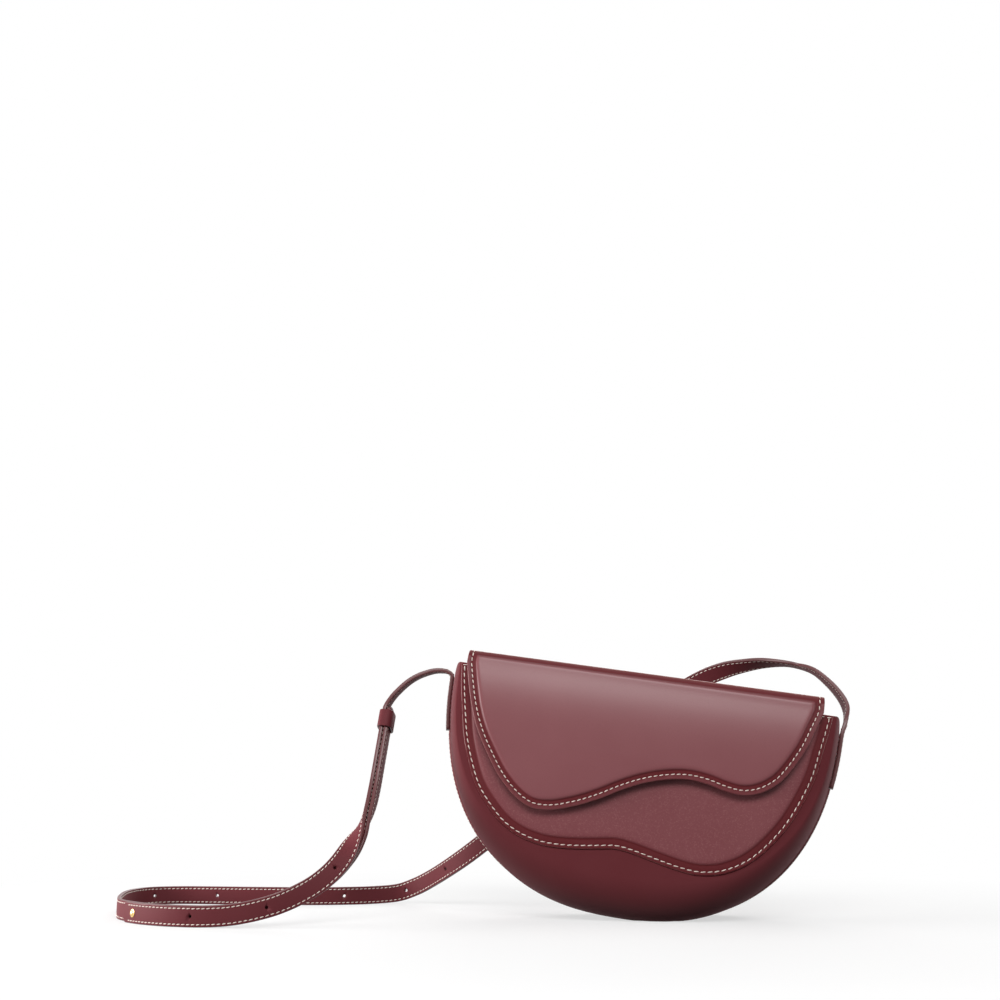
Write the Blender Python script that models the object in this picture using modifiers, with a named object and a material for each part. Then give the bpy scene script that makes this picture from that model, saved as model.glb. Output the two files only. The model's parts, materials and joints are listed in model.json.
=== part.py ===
"""Half-moon crossbody handbag in smooth leather, standing rolled a little to one side.

The body is a moulded D-shaped wall between a wavy front panel and a back panel. A flap with a wavy
edge folds over the top and closes on a magnetic snap. A short and a long strap are sewn on the two
sides, run through one keeper and are joined by a screw stud.

Metres, +Z up, the front faces -Y. The body is drawn in its own frame, with the origin in the middle of
the rim, X to the right and Z up. That frame hangs on an empty which rolls it and seats it on the floor.
"""
from math import asin, cos, pi, radians, sin

import bmesh
import bpy
from mathutils import Matrix, Vector

# Body
RIM_HALF_WIDTH = 0.1135         # flat front face, at the rim
FRONT_DROP = 0.1120             # rim to the lowest point of the flat front face
FRONT_EXPONENT = 2.5
BACK_HALF_WIDTH = 0.1270
BACK_DROP = 0.1400
BACK_EXPONENT = 2.4
BODY_DEPTH = 0.0620             # front face of the wall to the back edge of its flange
FLANGE = 0.0015                 # how far the back seam stands out past the wall
NOTCH_DIP = 0.0087              # how far the wall's top edge dips between front and back
WALL = 0.0020
LINING = 0.0008
SEAM = 0.0003                   # gap between touching pieces
ROLL = radians(8.9)             # the body rests rolled clockwise, seen from the front
SIT_FLAT = 0.0030               # how much of the round bottom the weight presses flat
STANCE_X = 0.00225
STANCE_Y = 0.0023
CORNER_MARGIN = 0.0120          # front margin of the wall, at the sides and at the bottom
BOTTOM_MARGIN = 0.0240

# Front panel and boards
PANEL = 0.0020
PANEL_HALF_WIDTH = 0.1130
PANEL_DROP = 0.1040
BOARD_BORDER = 0.0035           # from the wall's front margin to the board inside it

# Flap
FLAP_HALF_WIDTH = 0.1090
FLAP_DROP = 0.0810
FLAP_TOP = 0.0085               # rim to the top of the folded flap
FLAP_BACK_TOP = 0.0065
FLAP_LEATHER = 0.0016
FLAP_BOARD = 0.0010
FLAP_LINING = 0.0010
FLAP_FOLD = 0.0070
FLAP_CLEARANCE = 0.0006
FLAP_BORDER = 0.0100            # stitched border round the raised board
LINING_TRIM = 0.0008            # how far the flap's lining stays inside its edge

# Back panel
BACK = 0.0022
SHOULDER_DROP = 0.0060
HINGE_HALF_WIDTH = 0.1050
HINGE_RISE = 0.0020

# Slip pocket
POCKET_HALF_WIDTH = 0.0620
POCKET_HEIGHT = 0.0680
POCKET_TOP = 0.0300
POCKET_CORNER = 0.0120

# Magnetic snap
SNAP_RADIUS = 0.0070
SNAP_DROP = 0.0300

# Straps
STRAP_WIDTH = 0.0120
STRAP = 0.0024
STRAP_GAP = 0.0006              # between the two straps where they run together
TAB_LENGTH = 0.0310
HOLE_PITCH = 0.0445             # the same on both straps, or they couldn't be joined at another hole
HOLE_RADIUS = 0.0010
STUD_INSET = 0.0115             # stud to the short strap's end
SHORT_HOLES = 3
LONG_HOLES = 8                  # beyond the stud

# Keeper
KEEPER_LENGTH = 0.0110
KEEPER_WALL = 0.0015
KEEPER_CLEARANCE = 0.0005
KEEPER_DROP = 0.0085            # start of the straight stretch to the keeper's middle

# Screw stud
STUD_RADIUS = 0.0024
STUD_RISE = 0.0011
STUD_SHAFT = 0.0012
STUD_PLATE = 0.0010
STUD_DEPTH = 0.0005             # how far the shaft goes into the back half

CUT_OVERRUN = 0.0040
FINE = 0.00005

# Shares of the sizes that they follow
SIDE_FLARE_SHARE = 0.65
BOTTOM_ROUND_SHARE = 0.46
FULL_DEPTH_SHARE = 0.985        # where the wall has reached the back outline
DEPTH_SHARES = (0.0, 0.012, 0.04, 0.09, 0.16, 0.26, 0.38, 0.50, 0.64, 0.78, 0.90, 0.955, 0.985, 1.0)
LINED_SHARES = (0.05, 0.96)     # the stretch of the wall's depth that is lined
FLANGE_SHARES = {0.90: 0.15, 0.955: 0.75, 0.985: 1.0, 1.0: 1.0}
NOTCH_SHARES = ((0.0, 0.0), (0.16, 0.18), (0.38, 0.85), (0.50, 1.0), (0.64, 0.95), (0.90, 0.78), (1.0, 0.75))

# Wavy edges: points as shares of half the width and of the drop, from the left end to the right end
FLAP_EDGE_SHARES = (
    (-1.000, 0.000), (-0.968, -0.165), (-0.923, -0.357), (-0.866, -0.521), (-0.790, -0.680),
    (-0.714, -0.815), (-0.618, -0.930), (-0.520, -0.992), (-0.412, -0.987), (-0.315, -0.947),
    (-0.240, -0.906), (-0.148, -0.844), (-0.042, -0.761), (0.070, -0.690), (0.190, -0.640),
    (0.300, -0.619), (0.400, -0.630), (0.490, -0.658), (0.590, -0.671), (0.683, -0.636),
    (0.768, -0.554), (0.830, -0.441), (0.893, -0.279), (0.940, -0.075), (0.950, 0.000))
PANEL_EDGE_SHARES = (
    (-1.000, 0.000), (-0.987, -0.110), (-0.958, -0.272), (-0.923, -0.436), (-0.869, -0.591),
    (-0.814, -0.708), (-0.738, -0.806), (-0.653, -0.889), (-0.556, -0.943), (-0.445, -0.972),
    (-0.341, -0.975), (-0.231, -0.963), (-0.118, -0.943), (-0.035, -0.930), (0.050, -0.940),
    (0.164, -0.965), (0.281, -0.989), (0.378, -1.000), (0.450, -0.993), (0.533, -0.968),
    (0.630, -0.909), (0.718, -0.820), (0.812, -0.680), (0.880, -0.530), (0.932, -0.368),
    (0.958, -0.212), (0.980, -0.080), (0.990, 0.000))

# The straps' routes, chosen by hand, each point with the direction of the strap's width there
ALONG, UP, NEAR = (0, 1, 0), (0, 0, 1), (0, -1, 0)
LEFT_TAB, RIGHT_TAB = (-0.157, 0.988, 0.024), (-0.157, -0.988, 0.025)
ARCH_ROUTE = (
    ((-0.1201, 0.0021, 0.1493), LEFT_TAB), ((-0.1205, 0.0020, 0.1509), LEFT_TAB),
    ((-0.1224, 0.0017, 0.1526), ALONG),
    ((-0.1260, 0.0012, 0.1533), ALONG), ((-0.1306, 0.0004, 0.1532), ALONG),
    ((-0.1358, -0.0005, 0.1519), ALONG), ((-0.1420, -0.0016, 0.1494), ALONG),
    ((-0.1480, -0.0026, 0.1455), ALONG), ((-0.1536, -0.0034, 0.1403), ALONG),
    ((-0.1577, -0.0040, 0.1356), ALONG))
DOUBLE_ROUTE = (
    ((-0.1598, -0.0046, 0.1290), ALONG), ((-0.1608, -0.0076, 0.1188), ALONG),
    ((-0.1618, -0.0106, 0.1086), ALONG), ((-0.1628, -0.0136, 0.0984), ALONG),
    ((-0.1638, -0.0166, 0.0882), ALONG), ((-0.1646, -0.0205, 0.0785), (0, 1, 0.08)),
    ((-0.1656, -0.0262, 0.0685), (0, 1, 0.25)), ((-0.1674, -0.0335, 0.0588), (0, 1, 0.50)),
    ((-0.1704, -0.0415, 0.0492), (0, 1, 0.90)), ((-0.1752, -0.0490, 0.0392), (0, 0.6, 1)),
    ((-0.1825, -0.0555, 0.0297), (0, 0.3, 1)), ((-0.1932, -0.0612, 0.0213), (0, 0.1, 1)),
    ((-0.2076, -0.0658, 0.0142), UP), ((-0.2220, -0.0686, 0.0098), UP),
    ((-0.2370, -0.0700, 0.0071), UP), ((-0.2520, -0.0704, 0.0062), UP),
    ((-0.2665, -0.0690, 0.0061), UP), ((-0.2810, -0.0645, 0.0061), UP),
    ((-0.2950, -0.0570, 0.0061), UP), ((-0.3080, -0.0465, 0.0061), UP))
LOOP_ROUTE = (
    ((-0.3185, -0.0330, 0.0061), UP), ((-0.3275, -0.0150, 0.0061), UP), ((-0.3355, 0.0070, 0.0061), UP),
    ((-0.3420, 0.0290, 0.0061), UP), ((-0.3440, 0.0500, 0.0061), UP), ((-0.3370, 0.0660, 0.0061), UP),
    ((-0.3200, 0.0730, 0.0061), UP), ((-0.2950, 0.0735, 0.0061), UP), ((-0.2650, 0.0725, 0.0061), UP),
    ((-0.2350, 0.0735, 0.0061), UP), ((-0.2080, 0.0785, 0.0061), UP), ((-0.1870, 0.0880, 0.0062), UP),
    ((-0.1710, 0.0930, 0.0075), UP), ((-0.1590, 0.0905, 0.0115), UP), ((-0.1475, 0.0825, 0.0170), UP),
    ((-0.1305, 0.0655, 0.0268), UP), ((-0.1120, 0.0550, 0.0392), UP), ((-0.0810, 0.0463, 0.0628), UP),
    ((-0.0540, 0.0443, 0.0840), UP), ((-0.0272, 0.0433, 0.1043), UP), ((-0.0004, 0.0440, 0.1240), UP),
    ((0.0200, 0.0455, 0.1385), UP), ((0.0395, 0.0475, 0.1500), (0, -0.2, 1)),
    ((0.0540, 0.0500, 0.1560), (0, -0.5, 1)), ((0.0671, 0.0535, 0.1594), (0, -1, 0.8)),
    ((0.0812, 0.0553, 0.1615), (0, -1, 0.4)), ((0.0950, 0.0550, 0.1612), (0, -1, 0.1)),
    ((0.1061, 0.0550, 0.1590), NEAR), ((0.1143, 0.0463, 0.1541), NEAR), ((0.1209, 0.0333, 0.1453), NEAR),
    ((0.1252, 0.0198, 0.1358), NEAR), ((0.1267, 0.0090, 0.1268), NEAR), ((0.1251, 0.0034, 0.1190), RIGHT_TAB),
    ((0.1224, 0.0021, 0.1119), RIGHT_TAB))
ROUTE_STEPS = 2                 # ribbon steps between two points of a route

# Numbers of faces
WALL_STEPS = 44
LINING_STEPS = 32
OUTLINE_STEPS = 2               # curve steps between two points of an outline
FLAP_STEPS = 34
FOLD_STEPS = 4
FACE_STEPS = 7
TOP_STEPS = 3
ROUND_STEPS = 24
HOLE_STEPS = 8

# The flap's face lies in front of the panel by its own layers
FLAP_THICKNESS = FLAP_LEATHER + FLAP_BOARD + FLAP_LINING + 2 * SEAM
FRONT = -BODY_DEPTH / 2
BACK_EDGE = BODY_DEPTH / 2
PANEL_FACE = FRONT - SEAM - PANEL
FLAP_FACE = PANEL_FACE - FLAP_CLEARANCE - FLAP_THICKNESS
HINGE_Y = BACK_EDGE + SEAM + BACK

MATERIALS = {
    "leather": ((0.235, 0.055, 0.060), 0.42, 0.0),
    "lining": ((0.300, 0.120, 0.105), 0.75, 0.0),
    "board": ((0.420, 0.330, 0.250), 0.85, 0.0),
    "steel": ((0.560, 0.560, 0.550), 0.35, 1.0),
    "brass": ((0.800, 0.600, 0.300), 0.25, 1.0),
}


def clear_scene():
    for thing in list(bpy.data.objects):
        bpy.data.objects.remove(thing, do_unlink=True)


def new_collection(name):
    group = bpy.data.collections.new(name)
    bpy.context.scene.collection.children.link(group)
    return group


clear_scene()
PARTS = new_collection("handbag")
CUTTERS = new_collection("cutters")


def finish(name, finish_name):
    """A Principled material of one piece's own."""
    colour, roughness, metallic = MATERIALS[finish_name]
    material = bpy.data.materials.new(name + "_" + finish_name)
    material.use_nodes = True
    shader = material.node_tree.nodes["Principled BSDF"]
    shader.inputs["Base Color"].default_value = (*colour, 1.0)
    shader.inputs["Roughness"].default_value = roughness
    shader.inputs["Metallic"].default_value = metallic
    return material


def add_piece(name, mesh, finish_name, parent=None):
    piece = bpy.data.objects.new(name, mesh)
    PARTS.objects.link(piece)
    mesh.materials.clear()
    mesh.materials.append(finish(name, finish_name))
    piece.parent = parent
    return piece


def add_empty(name, location=(0, 0, 0), rotation=(0, 0, 0), parent=None):
    empty = bpy.data.objects.new(name, None)
    empty.location = location
    empty.rotation_euler = rotation
    empty.parent = parent
    PARTS.objects.link(empty)
    return empty


def cut(piece, cutter):
    """Take the cutter's shape out of the piece."""
    cutter.display_type = "WIRE"
    cutter.hide_render = True
    tool = piece.modifiers.new("cut_" + cutter.name, "BOOLEAN")
    tool.operation = "DIFFERENCE"
    tool.object = cutter


def signed_power(value, power):
    return abs(value) ** power if value >= 0 else -(abs(value) ** power)


def d_point(half_width, drop, exponent, angle):
    """A point of a D outline, from the left end of the rim (0) over the bottom to the right end (pi)."""
    power = 2 / exponent
    return -half_width * signed_power(cos(angle), power), -drop * signed_power(sin(angle), power)


def lowest_reach(half_width, drop, exponent):
    """How far a rolled D outline reaches below the middle of the rim."""
    dual = exponent / (exponent - 1)
    return ((half_width * sin(ROLL)) ** dual + (drop * cos(ROLL)) ** dual) ** (1 / dual)


SEAT_HEIGHT = lowest_reach(BACK_HALF_WIDTH, BACK_DROP, BACK_EXPONENT) - SIT_FLAT


def pressed(x, z, above=0.0):
    """Move a point of the body up to the floor, or to a height above it, where it would lie lower."""
    short = above - (SEAT_HEIGHT - x * sin(ROLL) + z * cos(ROLL))
    if short > 0:
        x -= short * sin(ROLL)
        z += short * cos(ROLL)
    return x, z


def read_shares(table, share):
    """Straight-line reading of a table of (place, value) shares."""
    for (low, low_value), (high, high_value) in zip(table, table[1:]):
        if share <= high:
            return low_value + (high_value - low_value) * (share - low) / (high - low)
    return table[-1][1]


def wall_point(along, depth_share):
    """Outer face of the wall: along runs from 0 at the left rim over the bottom to 1 at the right rim."""
    dip = NOTCH_DIP * read_shares(NOTCH_SHARES, depth_share)
    start = asin((dip / BACK_DROP) ** (BACK_EXPONENT / 2))
    angle = start + (pi - 2 * start) * along
    front = Vector(d_point(RIM_HALF_WIDTH, FRONT_DROP, FRONT_EXPONENT, angle))
    back = Vector(d_point(BACK_HALF_WIDTH - FLANGE, BACK_DROP - FLANGE, BACK_EXPONENT, angle))
    bottom = sin(angle) ** 2
    side_spread = min(depth_share / FULL_DEPTH_SHARE, 1) ** SIDE_FLARE_SHARE
    bottom_spread = (1 - (1 - min(depth_share / BOTTOM_ROUND_SHARE, 1)) ** 2) ** 0.5
    spread = side_spread + (bottom_spread - side_spread) * bottom
    point = front + (back - front) * spread
    lip = FLANGE * FLANGE_SHARES.get(depth_share, 0.0)
    edge = Vector(d_point(BACK_HALF_WIDTH - FLANGE + lip, BACK_DROP - FLANGE + lip, BACK_EXPONENT, angle))
    point += edge - back
    x, z = pressed(point.x, point.y)
    return Vector((x, FRONT + BODY_DEPTH * depth_share, z))


def smooth_line(points, steps):
    """Catmull-Rom curve through the points, as a list with the given steps between two of them."""
    line = []
    count = len(points)
    for i in range(count - 1):
        a, b, c, d = (Vector(points[max(0, min(count - 1, i + k))]) for k in (-1, 0, 1, 2))
        for step in range(steps):
            t = step / steps
            line.append(0.5 * (2 * b + (c - a) * t + (2 * a - 5 * b + 4 * c - d) * t ** 2
                               + (3 * b - a - 3 * c + d) * t ** 3))
    line.append(Vector(points[-1]))
    return line


def shrink(line, distance):
    """An open outline moved inwards, up from its lower edge, by a distance."""
    moved = []
    for i, point in enumerate(line):
        along = (line[min(i + 1, len(line) - 1)] - line[max(i - 1, 0)]).normalized()
        moved.append(point + Vector((-along.y, along.x)) * distance)
    return moved


def sheet(name, columns, rows, place, thickness, depth, finish_name, parent=None):
    """A grid laid on place(column, row) and thickened inwards, starting at a depth below its face."""
    shape = bmesh.new()
    bmesh.ops.create_grid(shape, x_segments=columns, y_segments=rows, size=1)
    for vertex in shape.verts:
        vertex.co = place(round((vertex.co.x + 1) / 2 * columns), round((vertex.co.y + 1) / 2 * rows))
    mesh = bpy.data.meshes.new(name)
    shape.to_mesh(mesh)
    shape.free()
    mesh.shade_smooth()
    piece = add_piece(name, mesh, finish_name, parent)
    solid = piece.modifiers.new("thickness", "SOLIDIFY")
    solid.thickness = thickness
    solid.offset = -(2 * depth / thickness + 1)
    solid.use_even_offset = True
    return piece


def plate(name, outline, front, thickness, finish_name, parent=None):
    """A flat piece with a closed outline in X and Z, from its front face backwards."""
    flat = bpy.data.curves.new(name + "_outline", "CURVE")
    flat.dimensions = "2D"
    flat.fill_mode = "BOTH"
    flat.extrude = thickness / 2
    spline = flat.splines.new("POLY")
    spline.points.add(len(outline) - 1)
    for target, (x, z) in zip(spline.points, outline):
        target.co = (x, z, 0, 1)
    spline.use_cyclic_u = True
    drawn = bpy.data.objects.new(name + "_drawn", flat)
    PARTS.objects.link(drawn)
    mesh = bpy.data.meshes.new_from_object(drawn.evaluated_get(bpy.context.evaluated_depsgraph_get()))
    bpy.data.objects.remove(drawn, do_unlink=True)
    welded = bmesh.new()
    welded.from_mesh(mesh)
    bmesh.ops.remove_doubles(welded, verts=welded.verts, dist=FINE)
    bmesh.ops.recalc_face_normals(welded, faces=welded.faces)
    welded.to_mesh(mesh)
    welded.free()
    piece = add_piece(name, mesh, finish_name, parent)
    piece.location = (0, front + thickness / 2, 0)
    piece.rotation_euler = (pi / 2, 0, 0)
    return piece


def ribbon_frames(route):
    """Centre, direction, width direction and face normal all along a strap's route."""
    centres = smooth_line([point for point, _ in route], ROUTE_STEPS)
    widths = smooth_line([width for _, width in route], ROUTE_STEPS)
    frames = []
    for i, centre in enumerate(centres):
        along = (centres[min(i + 1, len(centres) - 1)] - centres[max(i - 1, 0)]).normalized()
        across = (widths[i] - along * widths[i].dot(along)).normalized()
        frames.append((centre, along, across, along.cross(across)))
    return frames


def beside(frames, distance):
    """The same frames, moved along the face normal."""
    return [(centre + normal * distance, along, across, normal) for centre, along, across, normal in frames]


def ribbon(name, frames):
    """A flat strap along its frames."""
    def place(step, side):
        centre, _, across, _ = frames[step]
        return centre + across * (side - 1 / 2) * STRAP_WIDTH
    piece = sheet(name, len(frames) - 1, 1, place, STRAP, 0, "leather")
    piece.modifiers["thickness"].offset = 0
    return piece


def frame_at(frames, distance):
    """The frame at a distance along the frames."""
    gone = 0.0
    for first, second in zip(frames, frames[1:]):
        step = (second[0] - first[0]).length
        if gone + step >= distance:
            share = (distance - gone) / step
            return tuple(a.lerp(b, share) if i == 0 else a.lerp(b, share).normalized()
                         for i, (a, b) in enumerate(zip(first, second)))
        gone += step
    return frames[-1]


def turned_matrix(centre, x_axis, y_axis, z_axis):
    turned = Matrix((x_axis, y_axis, z_axis)).transposed().to_4x4()
    turned.translation = centre
    return turned


def rod_cutter(name, radius, length, matrix, steps):
    """A round cutter along its own Z."""
    shape = bmesh.new()
    bmesh.ops.create_cone(shape, cap_ends=True, segments=steps, radius1=radius, radius2=radius, depth=length)
    mesh = bpy.data.meshes.new(name)
    shape.to_mesh(mesh)
    shape.free()
    cutter = bpy.data.objects.new(name, mesh)
    cutter.matrix_world = matrix
    CUTTERS.objects.link(cutter)
    return cutter


def punch(strap, frames, distance, radius):
    """A round hole through a strap at a distance along it."""
    centre, along, across, normal = frame_at(frames, distance)
    matrix = turned_matrix(centre, across, normal.cross(across), normal)
    cut(strap, rod_cutter(strap.name + "_hole", radius, STRAP + CUT_OVERRUN, matrix, HOLE_STEPS))


def length_of(frames):
    return sum((b[0] - a[0]).length for a, b in zip(frames, frames[1:]))


def turned_piece(name, profile, matrix, finish_name):
    """A solid of revolution about its own Z, from a profile that runs down its outer side."""
    mesh = bpy.data.meshes.new(name)
    mesh.from_pydata([(x, 0, z) for x, z in profile], [(i, i + 1) for i in range(len(profile) - 1)], [])
    piece = add_piece(name, mesh, finish_name)
    piece.matrix_world = matrix
    screw = piece.modifiers.new("turn", "SCREW")
    screw.steps = ROUND_STEPS
    screw.render_steps = ROUND_STEPS
    screw.use_merge_vertices = True
    screw.merge_threshold = FINE
    screw.use_smooth_shade = True
    return piece


def body(stance):
    """The moulded wall, its lining and the two panels."""
    rows = (0.0,) + DEPTH_SHARES

    def wall_place(column, row):
        along = 1 - column / WALL_STEPS
        if row == 0:
            angle = pi * along
            x, z = d_point(RIM_HALF_WIDTH - CORNER_MARGIN, FRONT_DROP - BOTTOM_MARGIN, FRONT_EXPONENT, angle)
            return Vector((x, FRONT, z))
        return wall_point(along, rows[row])
    sheet("gusset", WALL_STEPS, len(rows) - 1, wall_place, WALL, 0, "leather", stance)

    lining_rows = [share for share in DEPTH_SHARES if LINED_SHARES[0] < share < LINED_SHARES[1]]

    def lining_place(column, row):
        return wall_point(1 - column / WALL_STEPS, lining_rows[row])
    sheet("gusset_lining", WALL_STEPS, len(lining_rows) - 1, lining_place, LINING, WALL + SEAM,
          "lining", stance)

    panel_edge = [Vector((x * PANEL_HALF_WIDTH, z * PANEL_DROP)) for x, z in PANEL_EDGE_SHARES]
    plate("front_panel", smooth_line(panel_edge, OUTLINE_STEPS), PANEL_FACE, PANEL, "leather", stance)

    steps = [step / LINING_STEPS for step in range(LINING_STEPS + 1)]
    board_half_width = RIM_HALF_WIDTH - CORNER_MARGIN - BOARD_BORDER
    board_drop = FRONT_DROP - BOTTOM_MARGIN - BOARD_BORDER
    board_edge = [d_point(board_half_width, board_drop, FRONT_EXPONENT, pi * step) for step in steps]
    board = plate("front_board", board_edge, FRONT, WALL, "board", stance)
    front_lining_edge = [d_point(RIM_HALF_WIDTH - WALL, FRONT_DROP - WALL, FRONT_EXPONENT, pi * step)
                         for step in steps]
    plate("front_lining", front_lining_edge, FRONT + WALL + SEAM, LINING, "lining", stance)

    back_edge = [pressed(*d_point(BACK_HALF_WIDTH, BACK_DROP, BACK_EXPONENT,
                                  shoulder_start() + (pi - 2 * shoulder_start()) * step / WALL_STEPS))
                 for step in range(WALL_STEPS + 1)]
    back_edge += [(HINGE_HALF_WIDTH, HINGE_RISE), (-HINGE_HALF_WIDTH, HINGE_RISE)]
    plate("back_panel", back_edge, BACK_EDGE + SEAM, BACK, "leather", stance)

    inner = FLANGE + WALL + LINING + 3 * SEAM
    inner_half_width, inner_drop = BACK_HALF_WIDTH - inner, BACK_DROP - inner
    inner_edge = [d_point(inner_half_width, inner_drop, BACK_EXPONENT, pi * step) for step in steps]
    back_lining_edge = [pressed(x, z, above=inner) for x, z in inner_edge]
    lining_front = BACK_EDGE - LINING
    plate("back_lining", back_lining_edge, lining_front, LINING, "lining", stance)
    plate("slip_pocket", pocket_outline(), lining_front - SEAM - LINING, LINING, "lining", stance)
    return board


def shoulder_start():
    """Angle of the back panel's outline at which its shoulders begin."""
    return asin((SHOULDER_DROP / BACK_DROP) ** (BACK_EXPONENT / 2))


def pocket_outline():
    """A straight top edge, straight sides and two rounded lower corners."""
    foot = -POCKET_TOP - POCKET_HEIGHT
    outline = [(POCKET_HALF_WIDTH, -POCKET_TOP), (-POCKET_HALF_WIDTH, -POCKET_TOP)]
    corner_x = POCKET_HALF_WIDTH - POCKET_CORNER
    for centre_x, first in ((-corner_x, pi), (corner_x, 1.5 * pi)):
        for step in range(HOLE_STEPS + 1):
            angle = first + pi / 2 * step / HOLE_STEPS
            outline.append((centre_x + POCKET_CORNER * cos(angle), foot + POCKET_CORNER * (1 + sin(angle))))
    return outline


def flap_edge_line(trim=0.0):
    edge = [Vector((x * FLAP_HALF_WIDTH, z * FLAP_DROP)) for x, z in FLAP_EDGE_SHARES]
    return shrink(smooth_line(edge, OUTLINE_STEPS), trim)


def edge_height(line, x):
    """Height of a wavy edge at a place across the bag."""
    for first, second in zip(line, line[1:]):
        if first.x <= x <= second.x:
            return first.y + (second.y - first.y) * (x - first.x) / (second.x - first.x)
    return line[0].y if x < line[0].x else line[-1].y


def flap_sheet(name, trim, thickness, depth, finish_name, parent):
    """One layer of the flap: over the top from the hinge, round the fold and down to the wavy edge."""
    line = flap_edge_line(trim)
    left, right = line[0].x, line[-1].x
    rows = TOP_STEPS + FOLD_STEPS + FACE_STEPS
    fold_y, fold_z = FLAP_FACE + FLAP_FOLD, FLAP_TOP - FLAP_FOLD

    def place(column, row):
        x = left + (right - left) * (1 - cos(pi * column / FLAP_STEPS)) / 2
        if row <= TOP_STEPS:
            share = row / TOP_STEPS
            y = HINGE_Y - trim + (fold_y - HINGE_Y + trim) * share
            return Vector((x, y, FLAP_BACK_TOP + (FLAP_TOP - FLAP_BACK_TOP) * share))
        if row <= TOP_STEPS + FOLD_STEPS:
            angle = pi / 2 * (row - TOP_STEPS) / FOLD_STEPS
            return Vector((x, fold_y - FLAP_FOLD * sin(angle), fold_z + FLAP_FOLD * cos(angle)))
        share = (row - TOP_STEPS - FOLD_STEPS) / FACE_STEPS
        foot = min(edge_height(line, x), fold_z - LINING_TRIM)
        return Vector((x, FLAP_FACE, fold_z + (foot - fold_z) * share))

    def flipped(column, row):
        return place(FLAP_STEPS - column, row)
    return sheet(name, FLAP_STEPS, rows, flipped, thickness, depth, finish_name, parent)


def flap(stance):
    """The flap's leather, stiffener and lining, hung on an empty on the hinge's axis."""
    hinge_z = FLAP_BACK_TOP - FLAP_THICKNESS - SEAM / 2
    hinge = add_empty("flap_hinge", (0, HINGE_Y, hinge_z), parent=stance)
    lining_depth = FLAP_LEATHER + FLAP_BOARD + 2 * SEAM
    layers = [
        flap_sheet("flap_outer", 0, FLAP_LEATHER, 0, "leather", hinge),
        flap_sheet("flap_lining", LINING_TRIM, FLAP_LINING, lining_depth, "lining", hinge)]
    edge = [(x, z) for x, z in flap_edge_line(FLAP_BORDER) if z < -FLAP_BORDER]
    board = plate("flap_board", edge, FLAP_FACE + FLAP_LEATHER + SEAM, FLAP_BOARD, "board", hinge)
    for piece in layers:
        piece.location = (0, -HINGE_Y, -hinge_z)
    board.location.y -= HINGE_Y
    board.location.z -= hinge_z
    return hinge, board


def snap(stance, hinge, front_board, flap_board):
    """Two flat magnets, one in each board, each in a round hole of its board."""
    places = (
        ("snap_socket", front_board, FRONT, WALL, stance),
        ("snap_stud", flap_board, FLAP_FACE + FLAP_LEATHER + SEAM, FLAP_BOARD, hinge))
    for name, board, front, thickness, parent in places:
        shape = bmesh.new()
        bmesh.ops.create_cone(shape, cap_ends=True, segments=ROUND_STEPS, radius1=SNAP_RADIUS,
                              radius2=SNAP_RADIUS, depth=thickness)
        mesh = bpy.data.meshes.new(name)
        shape.to_mesh(mesh)
        shape.free()
        magnet = add_piece(name, mesh, "steel", parent)
        centre = Vector((0, front + thickness / 2, -SNAP_DROP)) - parent_offset(parent)
        hole = rod_cutter(name + "_hole", SNAP_RADIUS + SEAM, thickness + CUT_OVERRUN, Matrix(), ROUND_STEPS)
        hole.parent = parent
        for piece in (magnet, hole):
            piece.location = centre
            piece.rotation_euler = (pi / 2, 0, 0)
        cut(board, hole)


def parent_offset(parent):
    """Where a parent empty's origin lies in the body's own frame."""
    return parent.location if parent.name == "flap_hinge" else Vector((0, 0, 0))


def strap_tab(name, side, stance):
    """The end of a strap, sewn flat on the outside of the wall below the notch in its top edge."""
    half_share = STRAP_WIDTH / 2 / BODY_DEPTH
    low = asin(((NOTCH_DIP + TAB_LENGTH) / BACK_DROP) ** (BACK_EXPONENT / 2)) / pi
    top, bottom = wall_point(0, 1 / 2).z, wall_point(low, 1 / 2).z
    rows, columns = 2, 4

    def place(column, row):
        point = wall_point(low * column / columns, 1 / 2 + half_share * (2 * row / rows - 1))
        return Vector((side * (SEAM - point.x), point.y, top + (bottom - top) * column / columns))

    def flipped(column, row):
        return place(columns - column, row)
    sheet(name, columns, rows, place if side > 0 else flipped, STRAP, -STRAP, "leather", stance)


def straps():
    """The short and the long strap, the keeper round both and the screw stud through both."""
    apart = (STRAP + STRAP_GAP) / 2
    double = ribbon_frames(DOUBLE_ROUTE)
    outer = beside(double, -apart)
    inner = beside(double, apart)
    arch = ribbon_frames(ARCH_ROUTE + ((tuple(outer[0][0]), ALONG), (tuple(outer[ROUTE_STEPS][0]), ALONG)))
    short_frames = arch[:-ROUTE_STEPS] + outer[1:]
    loop = ribbon_frames(((tuple(inner[-1 - ROUTE_STEPS][0]), UP), (tuple(inner[-1][0]), UP)) + LOOP_ROUTE)
    long_frames = inner + loop[ROUTE_STEPS + 1:]

    short = ribbon("strap_short", short_frames)
    stud_place = length_of(short_frames) - STUD_INSET
    punch(short, short_frames, stud_place, STUD_SHAFT + SEAM)
    for hole in range(1, SHORT_HOLES + 1):
        punch(short, short_frames, stud_place - hole * HOLE_PITCH, HOLE_RADIUS)

    long_strap = ribbon("strap_long", long_frames)
    stud_on_long = length_of(inner) - STUD_INSET
    punch(long_strap, long_frames, stud_on_long, STUD_SHAFT + SEAM)
    for hole in range(-SHORT_HOLES, LONG_HOLES + 1):
        if hole:
            punch(long_strap, long_frames, stud_on_long + hole * HOLE_PITCH, HOLE_RADIUS)

    keeper(double)
    stud(frame_at(short_frames, stud_place))


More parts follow.
